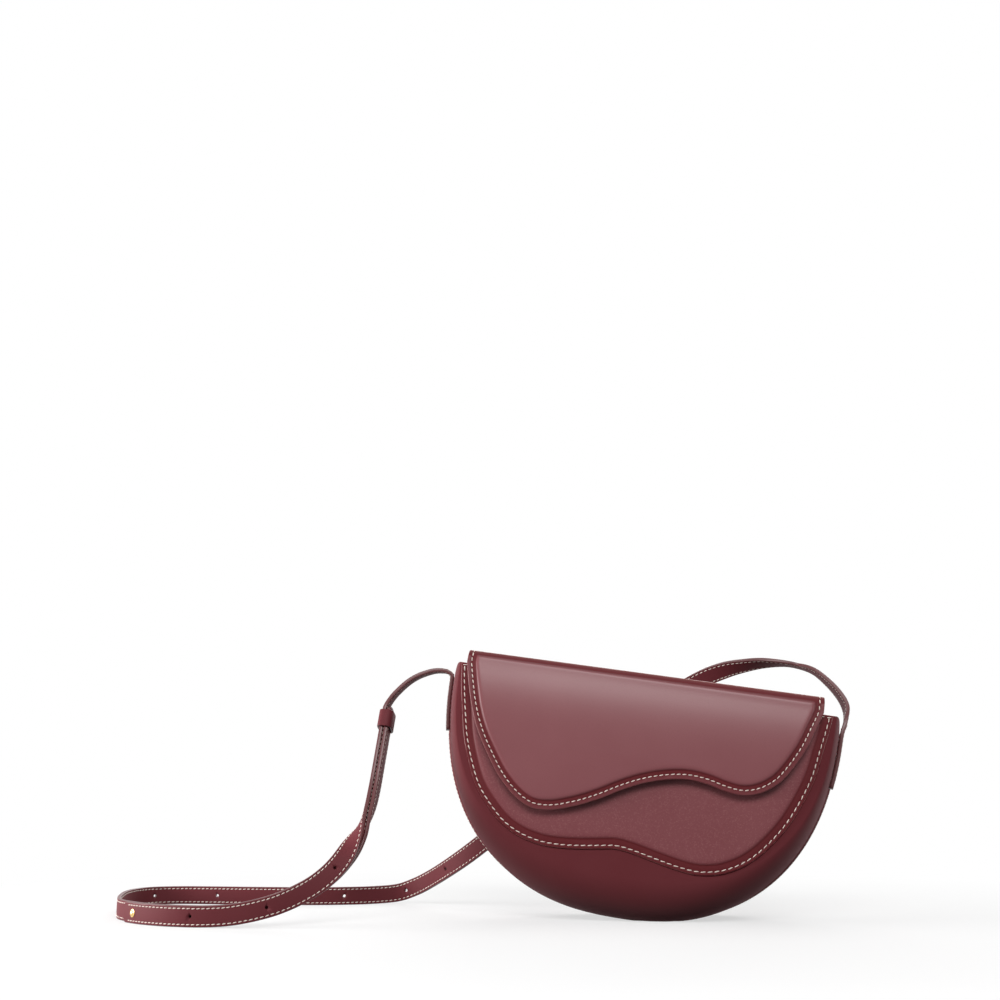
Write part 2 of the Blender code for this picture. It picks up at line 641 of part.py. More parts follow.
def keeper(double):
    """A leather loop round both straps, on their straight stretch."""
    centre, along, across, normal = frame_at(double, KEEPER_DROP)
    matrix = turned_matrix(centre, across, normal, across.cross(normal))
    bore = (STRAP_WIDTH + 2 * KEEPER_CLEARANCE, 2 * STRAP + STRAP_GAP + 2 * KEEPER_CLEARANCE)
    outside = (bore[0] + 2 * KEEPER_WALL, bore[1] + 2 * KEEPER_WALL)
    band = box("keeper", outside, KEEPER_LENGTH, matrix)
    bevel = band.modifiers.new("soft_edges", "BEVEL")
    bevel.width = KEEPER_WALL / 2
    bevel.segments = 2
    hole = box("keeper_bore", bore, KEEPER_LENGTH + CUT_OVERRUN, matrix, cutter=True)
    cut(band, hole)


def box(name, section, length, matrix, cutter=False):
    shape = bmesh.new()
    bmesh.ops.create_cube(shape, size=1)
    bmesh.ops.scale(shape, vec=(section[0], section[1], length), verts=shape.verts)
    mesh = bpy.data.meshes.new(name)
    shape.to_mesh(mesh)
    shape.free()
    if cutter:
        piece = bpy.data.objects.new(name, mesh)
        CUTTERS.objects.link(piece)
    else:
        piece = add_piece(name, mesh, "leather")
    piece.matrix_world = matrix
    return piece


def stud(place):
    """A brass screw stud: a domed head with a shaft through both straps, and a plate behind them."""
    centre, along, across, normal = place
    outwards = -normal
    face = centre + outwards * (STRAP / 2 + SEAM)
    matrix = turned_matrix(face, across, outwards.cross(across), outwards)
    through = 2 * STRAP + STRAP_GAP + 2 * SEAM
    dome = [(STUD_RADIUS * sin(pi / 2 * step / HOLE_STEPS), STUD_RISE * cos(pi / 2 * step / HOLE_STEPS))
            for step in range(HOLE_STEPS + 1)]
    head = dome + [(STUD_SHAFT, 0), (STUD_SHAFT, -through - STUD_DEPTH), (0, -through - STUD_DEPTH)]
    turned_piece("stud_head", head, matrix, "brass")
    bore = STUD_SHAFT + SEAM
    back = [(0, -through - STUD_DEPTH - SEAM), (bore, -through - STUD_DEPTH - SEAM), (bore, -through),
            (STUD_RADIUS, -through), (STUD_RADIUS, -through - STUD_PLATE - SEAM),
            (0, -through - STUD_PLATE - SEAM)]
    turned_piece("stud_back", back, matrix, "brass")


stance = add_empty("stance", (STANCE_X, STANCE_Y, SEAT_HEIGHT), (0, ROLL, 0))
front_board = body(stance)
flap_hinge, flap_board = flap(stance)
bpy.context.view_layer.update()
snap(stance, flap_hinge, front_board, flap_board)
strap_tab("strap_tab_left", -1, stance)
strap_tab("strap_tab_right", 1, stance)
straps()
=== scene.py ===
# %% [markdown]
# # A half-moon crossbody bag, dressed over its frame
#
# The bag is smooth burgundy leather with cream saddle stitching. A moulded wall is closed by a wavy front
# panel and a back panel, a flap with a wavy edge folds over the top, and two straps lie beside it. The
# frame already holds every part at its real size and place. This lesson gives each part the shape and the
# finish that a leather worker would, and never moves the frame.

# %% Load the frame
import json
from math import asin, atan2, cos, pi, radians, sin, tan

import bmesh
import bpy
from mathutils import Matrix, Vector
from mathutils.kdtree import KDTree


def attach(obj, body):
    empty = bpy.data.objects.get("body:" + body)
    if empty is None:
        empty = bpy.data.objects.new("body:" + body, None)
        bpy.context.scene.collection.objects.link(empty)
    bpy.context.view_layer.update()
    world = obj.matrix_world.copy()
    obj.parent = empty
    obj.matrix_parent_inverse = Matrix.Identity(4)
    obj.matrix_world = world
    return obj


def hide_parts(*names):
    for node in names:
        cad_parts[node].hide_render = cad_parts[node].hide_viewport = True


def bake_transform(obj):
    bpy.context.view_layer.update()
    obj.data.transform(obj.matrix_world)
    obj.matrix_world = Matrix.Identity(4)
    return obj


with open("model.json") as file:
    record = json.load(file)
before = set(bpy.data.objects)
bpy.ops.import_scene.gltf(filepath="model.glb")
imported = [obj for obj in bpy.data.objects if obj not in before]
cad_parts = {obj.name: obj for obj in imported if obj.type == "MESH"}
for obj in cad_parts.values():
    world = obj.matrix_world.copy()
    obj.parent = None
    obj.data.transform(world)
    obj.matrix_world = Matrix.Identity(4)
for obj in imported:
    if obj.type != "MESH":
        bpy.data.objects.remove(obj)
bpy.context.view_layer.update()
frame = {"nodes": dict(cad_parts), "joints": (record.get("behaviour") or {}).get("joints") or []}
nodes = frame["nodes"]
MM = 0.001

# %% [markdown]
# ## Where the bag stands
#
# The bag rests rolled a little to one side, so nothing on it is square to the floor. It is easier to
# shape the leather in the bag's own frame, with the origin in the middle of the rim, X across, Y into the
# bag and Z up, and to turn each finished mesh into place. The roll and the origin are read from the
# flap's hinge, whose place in the bag's own frame is known.

# %% The bag's own frame
HINGE_Y, HINGE_Z = 33.5 * MM, 2.15 * MM
hinge = next(joint for joint in frame["joints"] if joint["name"] == "flap_hinge")
ROLL = atan2(hinge["axis"][2], -hinge["axis"][0])
TURN = Matrix.Rotation(ROLL, 3, "Y")
STANCE = Matrix.Translation(Vector(hinge["pos_m"]) - TURN @ Vector((0, HINGE_Y, HINGE_Z))) @ TURN.to_4x4()
SEAT_HEIGHT = STANCE.translation.z
print("rolled by %.1f degrees, rim %.1f mm above the floor" % (ROLL * 180 / pi, SEAT_HEIGHT / MM))

# %% [markdown]
# ## The camera
#
# The photograph was taken low down, from just above the middle of the bag's height and a little to its
# right, with the lens tilted up. The lens and the place come from fitting the bag's known points to their
# pixels. The small shift keeps the frame without tilting the camera further, which would bend the
# uprights.

# %% Place the camera
LENS, SHIFT_UP, TILT, PAN = 43.2, 0.0834, radians(100), radians(6.37)
CAMERA_PLACE = (-4.2 * MM, -759 * MM, 74.8 * MM)


def put(data):
    """A new object for a mesh, a lamp or a camera, under the same name."""
    thing = bpy.data.objects.new(data.name, data)
    bpy.context.scene.collection.objects.link(thing)
    return thing


camera_data = bpy.data.cameras.new("photo_camera")
camera_data.sensor_fit = "HORIZONTAL"
camera_data.sensor_width = 36
camera_data.lens = LENS
camera_data.shift_y = SHIFT_UP
camera_data.clip_start = 10 * MM
camera = put(camera_data)
camera.location = CAMERA_PLACE
camera.rotation_euler = (TILT, 0, PAN)
bpy.context.scene.camera = camera
print("lens %.1f mm, camera %.0f mm above the floor" % (LENS, CAMERA_PLACE[2] / MM))

# %% [markdown]
# ## Sums on shader sockets
#
# Leather needs many small sums: a mask times a strength, one colour mixed into another. One small class
# wraps a socket, so that such a sum reads as Python, and adds the Math nodes by itself.

# %% A socket that can be added and multiplied
class Shade:
    def __init__(self, tree, socket):
        self.tree = tree
        self.socket = socket

    def math(self, operation, first, second):
        node = self.tree.nodes.new("ShaderNodeMath")
        node.operation = operation
        feed(self.tree, node.inputs[0], first)
        feed(self.tree, node.inputs[1], second)
        return Shade(self.tree, node.outputs[0])

    def __add__(self, other):
        return self.math("ADD", self, other)

    def __mul__(self, other):
        return self.math("MULTIPLY", self, other)

    def __sub__(self, other):
        return self.math("SUBTRACT", self, other)

    def __rsub__(self, other):
        return self.math("SUBTRACT", other, self)

    def clamped(self):
        limited = self.math("MAXIMUM", self, 0.0)
        return self.math("MINIMUM", limited, 1.0)


def feed(tree, socket, value):
    """Link a Shade to a socket, or write a plain value on it."""
    if isinstance(value, Shade):
        tree.links.new(value.socket, socket)
    else:
        socket.default_value = value


print("sums on sockets are ready")

# %% [markdown]
# ## A finish under construction
#
# Every finish starts as an empty node tree. Each node comes from one method, which takes the node's type,
# its settings and the values of its sockets, and the few kinds that come back again and again have short
# names of their own.

# %% Build a material step by step
class Finish:
    """A material under construction, laid out in the object's own coordinates."""
    def __init__(self, name):
        self.material = bpy.data.materials.new(name)
        self.material.use_nodes = True
        self.tree = self.material.node_tree
        self.tree.nodes.clear()
        self.place = self.add("ShaderNodeTexCoord", output=3)

    def add(self, kind, settings=None, output=0, **values):
        node = self.tree.nodes.new(kind)
        for key, value in (settings or {}).items():
            setattr(node, key, value)
        for key, value in values.items():
            name = key.replace("_", " ")
            feed(self.tree, node.inputs[name if name in node.inputs else int(key[1:])], value)
        return Shade(self.tree, node.outputs[output])

    def noise(self, scale, detail, roughness=0.5):
        return self.add("ShaderNodeTexNoise", Vector=self.place, Scale=scale, Detail=detail,
                        Roughness=roughness)

    def bump(self, height, strength, distance):
        return self.add("ShaderNodeBump", Strength=strength, Distance=distance, Height=height)

    def mix(self, share, first, second):
        node = self.tree.nodes.new("ShaderNodeMix")
        node.data_type = "RGBA"
        feed(self.tree, node.inputs[0], share)
        feed(self.tree, node.inputs[6], (*first, 1) if isinstance(first, tuple) else first)
        feed(self.tree, node.inputs[7], (*second, 1) if isinstance(second, tuple) else second)
        return Shade(self.tree, node.outputs[2])

    def close(self, surface=None, **values):
        """Send a surface to the output: the one given, or a plain one with these values."""
        surface = surface or self.add("ShaderNodeBsdfPrincipled", **values)
        end = self.tree.nodes.new("ShaderNodeOutputMaterial")
        self.tree.links.new(surface.socket, end.inputs["Surface"])
        return self.material


print("finishes can be built")

# %% [markdown]
# ## Smooth calf leather
#
# This is the finish of the flap, the wall, the back and the straps. Good box calf is nearly smooth: a
# tight pore grain that shows only in the highlight, slow changes of tone where the dye took more or less,
# and a bloom of wax on the wall. The grain is a bump from fine cells in Object coordinates, so it has
# one true scale all over the bag. The border beside the stitching is pressed flat and looks darker, and
# the paler colour of the open, raised parts is partly painted sheen. The pieces carry an attribute, from
# 0 in the open to 1 in the border, that drives it, and that also paints shade on the wall next to the
# panel. The wall is darkened all over as painted shade, and a second attribute paints a highlight on the
# fold.

# %% Leather
BURGUNDY = (0.185, 0.046, 0.054)
BURGUNDY_LIGHT = (0.225, 0.068, 0.076)
BURGUNDY_DEEP = (0.105, 0.012, 0.015)
# The dark colour that depth mixes in, painted shade on the wall.
BURGUNDY_DARK_AND_PAINTED_SHADE = (0.085, 0.010, 0.014)
# The orange of the painted highlight on the fold.
PAINTED_FOLD_HIGHLIGHT_COLOUR = (0.360, 0.100, 0.070)
PALE_FLECK = (0.42, 0.19, 0.18)


def leather(name, roughness=0.50, pore=0.42, bump=0.10, speckle=0.0, shine=0.14, depth=0.0,
            glaze=0.0, gloss=0.36, haze=0.0):
    """Pore is the grain in mm, speckle adds flecks, depth darkens, glaze polishes the raised parts.

    Haze is the pale bloom that waxed leather shows at a low angle. Depth on the wall is painted shade.
    """
    work = Finish(name)
    tone = work.noise(28.0, 3.0)
    cells = work.add("ShaderNodeTexVoronoi", {"feature": "F1"}, Vector=work.place, Scale=1 / (pore * MM))
    fine = work.noise(1 / (0.6 * pore * MM), 4.0, 0.6)
    pressed_and_painted_shade, painted_fold_highlight = (work.add("ShaderNodeAttribute", {"attribute_name": key}, output=2)
                     for key in ("pressed_and_painted_shade", "painted_fold_highlight"))
    colour = work.mix((tone - 0.3) * 0.9, BURGUNDY, BURGUNDY_LIGHT)
    colour = work.mix((cells - 0.45) * 0.35, colour, BURGUNDY_DEEP)
    if speckle:
        flecks = work.noise(1 / (0.9 * MM), 2.0, 0.7)
        colour = work.mix(((flecks - 0.52) * 5.0).clamped() * speckle, colour, PALE_FLECK)
    # Darker where the leather is pressed. The paler colour left on the open, raised parts is partly painted
    # sheen, and the darker band of wall next to the panel is painted shade.
    colour = work.mix(pressed_and_painted_shade * 0.9, colour, BURGUNDY_DEEP)
    # Depth darkens the whole piece; on the wall this is painted shade.
    colour = work.mix(depth, colour, BURGUNDY_DARK_AND_PAINTED_SHADE)
    # A painted orange highlight along the top of the fold.
    colour = work.mix(painted_fold_highlight, colour, PAINTED_FOLD_HIGHLIGHT_COLOUR)
    return work.close(Base_Color=colour, Normal=work.bump(cells * 0.6 + fine * 0.4, bump, 0.2 * MM),
                      Roughness=fine * 0.10 + (roughness - 0.05), Coat_Weight=(1 - pressed_and_painted_shade) * glaze,
                      Specular_IOR_Level=shine, Coat_Roughness=gloss, Sheen_Weight=haze)


FLAP_LEATHER = leather("flap_leather", glaze=0.65, gloss=0.34)
# Depth darkens the whole wall: painted shade, so that its underside looks dark.
WALL_LEATHER = leather("wall_leather", roughness=0.72, shine=0.05, depth=0.36, haze=0.09)
PANEL_LEATHER = leather("panel_leather", pore=0.55, bump=0.22, speckle=0.25, depth=0.10, glaze=0.35,
                        gloss=0.46)
STRAP_LEATHER = leather("strap_leather", roughness=0.56, pore=0.38, shine=0.09, depth=0.50)
print("leathers:", FLAP_LEATHER.name, WALL_LEATHER.name, PANEL_LEATHER.name, STRAP_LEATHER.name)

# %% [markdown]
# ## Painted edges, thread, lining and brass
#
# The cut edges of the leather are sanded and painted, a little warmer on the body and darker on the
# straps. The thread is waxed linen: pale, a little uneven, with the twist showing as fine slanted
# ribs. The lining is a plain suede-like cloth. The stud is polished brass with faint tarnish.

# %% Small finishes
CREAM, CREAM_WORN = (0.86, 0.78, 0.70), (0.66, 0.52, 0.44)
SUEDE_DARK, SUEDE_LIGHT = (0.120, 0.038, 0.036), (0.235, 0.095, 0.085)


def painted_edge(name, base, glow):
    work = Finish(name)
    colour = work.mix((work.noise(160.0, 3.0) - 0.25).clamped(), base, glow)
    fine = work.noise(2400.0, 2.0)
    return work.close(Base_Color=colour, Normal=work.bump(fine, 0.12, 0.1 * MM), Roughness=fine * 0.15 + 0.30)


def thread(name):
    work = Finish(name)
    twist = work.add("ShaderNodeTexWave", {"bands_direction": "DIAGONAL"}, Vector=work.place, Scale=900.0,
                     Distortion=2.0)
    worn = work.noise(300.0, 2.0)
    return work.close(Base_Color=work.mix(worn * 0.5, CREAM, CREAM_WORN),
                      Normal=work.bump(twist, 0.35, 0.08 * MM), Roughness=worn * 0.1 + 0.62)


def suede(name):
    work = Finish(name)
    nap, fibre = work.noise(60.0, 5.0, 0.7), work.noise(2600.0, 3.0)
    return work.close(Base_Color=work.mix((nap - 0.2).clamped(), SUEDE_DARK, SUEDE_LIGHT),
                      Normal=work.bump(fibre, 0.5, 0.15 * MM), Roughness=fibre * 0.1 + 0.82,
                      Sheen_Weight=0.3)


def metal(name, bright, dull, roughness):
    work = Finish(name)
    tarnish = work.noise(700.0, 4.0)
    return work.close(Base_Color=work.mix((tarnish - 0.3).clamped(), bright, dull), Metallic=1.0,
                      Roughness=tarnish * 0.2 + roughness)


BODY_EDGE = painted_edge("body_edge_paint", (0.170, 0.038, 0.036), (0.270, 0.085, 0.070))
STRAP_EDGE = painted_edge("strap_edge_paint", (0.085, 0.014, 0.016), (0.140, 0.036, 0.036))
THREAD = thread("cream_thread")
LINING = suede("suede_lining")
BRASS = metal("stud_brass", (0.88, 0.62, 0.26), (0.62, 0.40, 0.15), 0.16)
STEEL = metal("magnet_steel", (0.62, 0.62, 0.60), (0.40, 0.40, 0.40), 0.30)
BOARD = suede("stiffener_board")
print("materials so far:", len(bpy.data.materials))

# %% [markdown]
# ## Hidden stiffeners and magnets
#
# Two boards and two flat magnets lie between the leather and the lining. Their shapes in the frame are
# right, so they stay and only get a finish.

# %% Finish the hidden parts
HIDDEN = {"front_board": BOARD, "flap_board": BOARD, "snap_socket": STEEL, "snap_stud": STEEL}
for name, finish in HIDDEN.items():
    nodes[name].data.materials.clear()
    nodes[name].data.materials.append(finish)
print("hidden parts finished:", len(HIDDEN))

# %% [markdown]
# ## Selecting in code
#
# Modelling tools act on what is selected, and loading the frame leaves its parts selected. So each step
# starts with everything deselected, and then picks faces by where they are.

# %% Helpers for hand modelling
def deselect():
    bpy.ops.object.select_all(action="DESELECT")


def activate(piece):
    deselect()
    piece.select_set(True)
    bpy.context.view_layer.objects.active = piece


def edit(piece):
    """Go into edit mode on the points, with everything selected."""
    activate(piece)
    bpy.ops.object.mode_set(mode="EDIT")
    bpy.ops.mesh.select_mode(type="VERT")
    bpy.ops.mesh.select_all(action="SELECT")


def leave():
    bpy.ops.object.mode_set(mode="OBJECT")


def apply(piece, kind, **settings):
    """Add a modifier with its settings and apply it."""
    activate(piece)
    modifier = piece.modifiers.new(kind.lower(), kind)
    for key, value in settings.items():
        setattr(modifier, key, value)
    bpy.ops.object.modifier_apply(modifier=modifier.name)


def axes_at(centre, x_axis, y_axis, z_axis):
    """The matrix that carries a shape made at the origin to three directions at a point."""
    matrix = Matrix((x_axis, y_axis, z_axis)).transposed().to_4x4()
    matrix.translation = centre
    return matrix


def settle(piece, body, slot, *replaced):
    """Put a finished piece on its body, for the nodes that it replaces."""
    piece.data.update()
    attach(piece, body)
    if replaced:
        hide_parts(*replaced)


print("modelling helpers are ready")

# %% [markdown]
# ## The outlines
#
# The wall is drawn between two D shapes, which are superellipses: a plain formula with a width, a drop
# and an exponent that makes the shoulders fuller than an ellipse. The wavy edges of the flap and of the
# front panel follow no formula. They are listed points, as shares of half the width and of the
# drop, joined by a smooth curve.

# %% D shapes and wavy edges
RIM_HALF_WIDTH, FRONT_DROP, FRONT_EXPONENT = 113.5 * MM, 112 * MM, 2.5
BACK_HALF_WIDTH, BACK_DROP, BACK_EXPONENT = 127 * MM, 140 * MM, 2.4
BODY_DEPTH, FLANGE, WALL, SEAM = 62 * MM, 1.5 * MM, 2 * MM, 0.3 * MM
NOTCH_DIP = 8.7 * MM
FRONT, BACK_EDGE = -BODY_DEPTH / 2, BODY_DEPTH / 2
FLAP_EDGE_SHARES = (
    (-1.000, 0.000), (-0.968, -0.165), (-0.923, -0.357), (-0.866, -0.521), (-0.790, -0.680),
    (-0.714, -0.815), (-0.618, -0.930), (-0.520, -0.992), (-0.412, -0.987), (-0.315, -0.947),
    (-0.240, -0.906), (-0.148, -0.844), (-0.042, -0.761), (0.070, -0.690), (0.190, -0.640),
    (0.300, -0.619), (0.400, -0.630), (0.490, -0.658), (0.590, -0.671), (0.683, -0.636),
    (0.768, -0.554), (0.830, -0.441), (0.893, -0.279), (0.938, -0.110), (0.968, 0.000))
PANEL_EDGE_SHARES = (
    (-1.000, 0.000), (-0.987, -0.110), (-0.958, -0.272), (-0.923, -0.436), (-0.869, -0.591),
    (-0.814, -0.708), (-0.738, -0.806), (-0.653, -0.889), (-0.556, -0.943), (-0.445, -0.972),
    (-0.341, -0.975), (-0.231, -0.963), (-0.118, -0.943), (-0.035, -0.930), (0.050, -0.940),
    (0.164, -0.965), (0.281, -0.989), (0.378, -1.000), (0.450, -0.993), (0.533, -0.968),
    (0.630, -0.909), (0.718, -0.820), (0.812, -0.680), (0.880, -0.530), (0.932, -0.368),
    (0.958, -0.212), (0.980, -0.080), (0.990, 0.000))


def signed_power(value, power):
    return abs(value) ** power if value >= 0 else -(abs(value) ** power)


def d_point(half_width, drop, exponent, angle):
    """From the left end of the rim (0) over the bottom to the right end (pi)."""
    x = -half_width * signed_power(cos(angle), 2 / exponent)
    return x, -drop * signed_power(sin(angle), 2 / exponent)


def smooth_line(points, steps):
    """A curve through the points, with the given steps between two of them."""
    line = []
    count = len(points)
    for i in range(count - 1):
        a, b, c, d = (Vector(points[max(0, min(count - 1, i + k))]) for k in (-1, 0, 1, 2))
        for step in range(steps):
            t = step / steps
            line.append(0.5 * (2 * b + (c - a) * t + (2 * a - 5 * b + 4 * c - d) * t ** 2
                               + (3 * b - a - 3 * c + d) * t ** 3))
    line.append(Vector(points[-1]))
    return line


print("outline points: flap %d, panel %d" % (len(FLAP_EDGE_SHARES), len(PANEL_EDGE_SHARES)))

# %% [markdown]
# ## Walking along a line
#
# Stitches, holes and the rings of a strap are all placed by their distance along a line, so one small
# walker serves them all. The bag's own weight presses its round bottom flat, and the points there move up
# to the floor.

# %% Places along a line, and the floor
def length(line):
    return sum((b - a).length for a, b in zip(line, line[1:]))


def walk(line, distances):
    """For rising distances along a line: the index of the step reached and the share of it that is gone."""
    gone, index = 0.0, 0
    for distance in distances:
        while index < len(line) - 2 and gone + (line[index + 1] - line[index]).length < distance:
            gone += (line[index + 1] - line[index]).length
            index += 1
        yield index, min(1.0, (distance - gone) / (line[index + 1] - line[index]).length)


def spaced(line, pitch):
    """The same line with points at an even spacing."""
    total = length(line)
    count = max(1, round(total / pitch))
    return [line[i] + (line[i + 1] - line[i]) * share
            for i, share in walk(line, [total * k / count for k in range(count + 1)])]


def pressed_up(x, z, above=0.0):
    """Move a point of the body up to the floor, where the weight presses the round bottom flat."""
    short = above - (SEAT_HEIGHT - x * sin(ROLL) + z * cos(ROLL))
    if short > 0:
        return x - short * sin(ROLL), z + short * cos(ROLL)
    return x, z


front_d = [Vector(d_point(RIM_HALF_WIDTH, FRONT_DROP, FRONT_EXPONENT, pi * i / 90)) for i in range(91)]
print("round the front D: %.0f mm" % (length(front_d) / MM))

# %% [markdown]
# ## The moulded wall as a formula
#
# Wet leather is pressed over a last to make the wall, so it is one smooth surface from the front D to the
# larger back D. A formula with two places on it, one round the D and one from front to back, gives that
# surface exactly. Each point slides from the front outline to the back one, quickly at the bottom, where
# the leather rounds under, and evenly at the sides. The rim dips between front and back. Everything that
# lies on the wall, such as its stitching and the sewn ends of the straps, asks this one function.

# %% A point on the wall
NOTCH_SHARES = ((0.0, 0.0), (0.16, 0.18), (0.38, 0.85), (0.50, 1.0), (0.64, 0.95), (0.90, 0.78), (1.0, 0.75))
SIDE_FLARE_SHARE, BOTTOM_ROUND_SHARE, FULL_DEPTH_SHARE = 0.65, 0.46, 0.985


def read_curve(table, place):
    """A smooth reading of a table of (place, value) points."""
    slopes = [0.0]
    for (a, va), (b, vb), (c, vc) in zip(table, table[1:], table[2:]):
        slopes.append((vc - va) / (c - a))
    slopes.append(0.0)
    for i in range(len(table) - 1):
        (a, va), (b, vb) = table[i], table[i + 1]
        if place <= b:
            t, w = (place - a) / (b - a), b - a
            return (va * (2 * t ** 3 - 3 * t ** 2 + 1) + slopes[i] * w * (t ** 3 - 2 * t ** 2 + t)
                    + vb * (3 * t ** 2 - 2 * t ** 3) + slopes[i + 1] * w * (t ** 3 - t ** 2))
    return table[-1][1]


def smoothstep(low, high, value):
    t = min(1.0, max(0.0, (value - low) / (high - low)))
    return t * t * (3 - 2 * t)


def wall_point(along, depth):
    """Outer face of the wall: along runs round the D from 0 to 1, depth from the front to the back."""
    dip = NOTCH_DIP * max(0.0, read_curve(NOTCH_SHARES, depth))
    start = asin((dip / BACK_DROP) ** (BACK_EXPONENT / 2))
    angle = start + (pi - 2 * start) * along
    front = Vector(d_point(RIM_HALF_WIDTH, FRONT_DROP, FRONT_EXPONENT, angle))
    lip = FLANGE * (0.8 * smoothstep(0.93, 0.985, depth) + 0.2 * smoothstep(0.85, 0.95, depth) - 1)
    back = Vector(d_point(BACK_HALF_WIDTH - FLANGE, BACK_DROP - FLANGE, BACK_EXPONENT, angle))
    edge = Vector(d_point(BACK_HALF_WIDTH + lip, BACK_DROP + lip, BACK_EXPONENT, angle))
    bottom = sin(angle) ** 2
    side_spread = min(depth / FULL_DEPTH_SHARE, 1) ** SIDE_FLARE_SHARE
    bottom_spread = (1 - (1 - min(depth / BOTTOM_ROUND_SHARE, 1)) ** 2) ** 0.5
    spread = side_spread + (bottom_spread - side_spread) * bottom
    point = front + (back - front) * spread + edge - back
    x, z = pressed_up(point.x, point.y)
    return Vector((x, FRONT + BODY_DEPTH * depth, z))


def wall_frame(along, depth):
    """A point on the wall with its direction round the D, towards the back, and straight out of it."""
    step = 0.002
    here = wall_point(along, depth)
    round_d = (wall_point(along + step, depth) - wall_point(max(along - step, 0), depth)).normalized()
    back = (wall_point(along, min(depth + step, 1)) - wall_point(along, depth - step)).normalized()
    return here, round_d, back, back.cross(round_d).normalized()


here, _, _, out = wall_frame(0.02, 0.5)
print("left wall at mid depth: x %.1f mm," % (here.x / MM), "outward", [round(v, 2) for v in out])

# %% [markdown]
# ## The straps' routes
#
# The straps are cords in the sense of this frame: flexible, of one fixed length, lying as they fell. The
# short strap leaves the left tab, arches over and hangs beside the bag to lie on its edge. The long one
# starts at a bare tip in the keeper, lies inside the short one up to the stud, turns back on the floor,
# passes behind the bag and comes down to the right tab. The points are chosen on the photograph, in
# mm, in runs that share one direction of the strap's width, and a smooth curve joins them. The sewn
# ends on the wall are added from the wall's own formula.

# %% Routes of the straps
STRAP_WIDTH, STRAP, STRAP_GAP, TAB_LENGTH = 12 * MM, 2.4 * MM, 0.6 * MM, 31 * MM
ALONG, UP, NEAR = (0, 1, 0), (0, 0, 1), (0, -1, 0)
LEFT_TAB, RIGHT_TAB = (-0.157, 0.988, 0.024), (-0.157, -0.988, 0.025)


def route(*runs):
    """Points with the direction of the strap's width, from runs in mm that share one direction."""
    return tuple(((x * MM, y * MM, z * MM), width) for width, *points in runs for x, y, z in points)


ARCH_ROUTE = route(
    (LEFT_TAB, (-120.1, 2.1, 149.3), (-120.5, 2.0, 150.9)),
    (ALONG, (-122.4, 1.7, 152.6), (-126.0, 1.2, 153.3), (-130.6, 0.4, 153.2), (-135.8, -0.5, 151.9),
     (-142.0, -1.6, 149.4), (-148.0, -2.6, 145.5), (-153.6, -3.4, 140.3), (-157.7, -4.0, 135.6)))
DOUBLE_ROUTE = route(
    (ALONG, (-159.8, -4.6, 129.0), (-160.8, -7.6, 118.8), (-161.8, -10.6, 108.6), (-162.8, -13.6, 98.4),
     (-163.8, -16.6, 88.2)),
    ((0, 1, 0.08), (-164.6, -20.5, 78.5)), ((0, 1, 0.25), (-165.6, -26.2, 68.5)),
    ((0, 1, 0.5), (-167.4, -33.5, 58.8)), ((0, 1, 0.9), (-170.4, -41.5, 49.2)),
    ((0, 0.6, 1), (-175.2, -49.0, 39.2)), ((0, 0.3, 1), (-182.5, -55.5, 29.7)),
    ((0, 0.1, 1), (-193.2, -61.2, 21.3)),
    (UP, (-207.6, -65.8, 14.2), (-222.0, -68.6, 9.8), (-237.0, -70.0, 7.1), (-252.0, -70.4, 6.2),
     (-266.5, -69.0, 6.1), (-281.0, -64.5, 6.1), (-295.0, -57.0, 6.1), (-308.0, -46.5, 6.1)))
LOOP_ROUTE = route(
    (UP, (-318.5, -33.0, 6.1), (-327.5, -15.0, 6.1), (-335.5, 7.0, 6.1), (-342.0, 29.0, 6.1),
     (-344.0, 50.0, 6.1), (-337.0, 66.0, 6.1), (-320.0, 73.0, 6.1), (-295.0, 73.5, 6.1),
     (-265.0, 72.5, 6.1), (-235.0, 73.5, 6.1), (-208.0, 78.5, 6.1), (-187.0, 88.0, 6.2),
     (-171.0, 93.0, 7.5), (-159.0, 90.5, 11.5), (-147.5, 82.5, 17.0), (-130.5, 65.5, 26.8),
     (-112.0, 55.0, 39.2), (-81.0, 46.3, 62.8), (-54.0, 44.3, 84.0), (-27.2, 43.3, 104.3),
     (-0.4, 44.0, 124.0), (20.0, 45.5, 138.5)),
    ((0, -0.2, 1), (39.5, 47.5, 150.0)), ((0, -0.5, 1), (54.0, 50.0, 156.0)),
    ((0, -1, 0.8), (67.1, 53.5, 159.4)), ((0, -1, 0.4), (81.2, 55.3, 161.5)),
    ((0, -1, 0.1), (95.0, 55.0, 161.2)),
    (NEAR, (106.1, 55.0, 159.0), (114.3, 46.3, 154.1), (120.9, 33.3, 145.3), (125.2, 19.8, 135.8),
     (126.7, 9.0, 126.8)),
    (RIGHT_TAB, (125.1, 3.4, 119.0), (122.4, 2.1, 111.9)))
print("route points:", len(ARCH_ROUTE), len(DOUBLE_ROUTE), len(LOOP_ROUTE))

# %% [markdown]
# ## Frames along the straps
#
# A strap is flat, so its middle line isn't enough: at each point it also needs the direction of its width
# and the normal of its face. The two straps lie side by side along the doubled stretch, so their frames
# there are one set, moved apart.

# %% Frames of both straps
STEPS = 5


def ribbon_frames(points):
    """Centre, direction, width direction and face normal all along a strap's route."""
    centres = smooth_line([point for point, _ in points], STEPS)
    widths = smooth_line([width for _, width in points], STEPS)
    frames = []
    for i, centre in enumerate(centres):
        along = (centres[min(i + 1, len(centres) - 1)] - centres[max(i - 1, 0)]).normalized()
        across = (widths[i] - along * widths[i].dot(along)).normalized()
        frames.append((centre, along, across, along.cross(across)))
    return frames


def beside(frames, distance):
    return [(centre + normal * distance, along, across, normal) for centre, along, across, normal in frames]


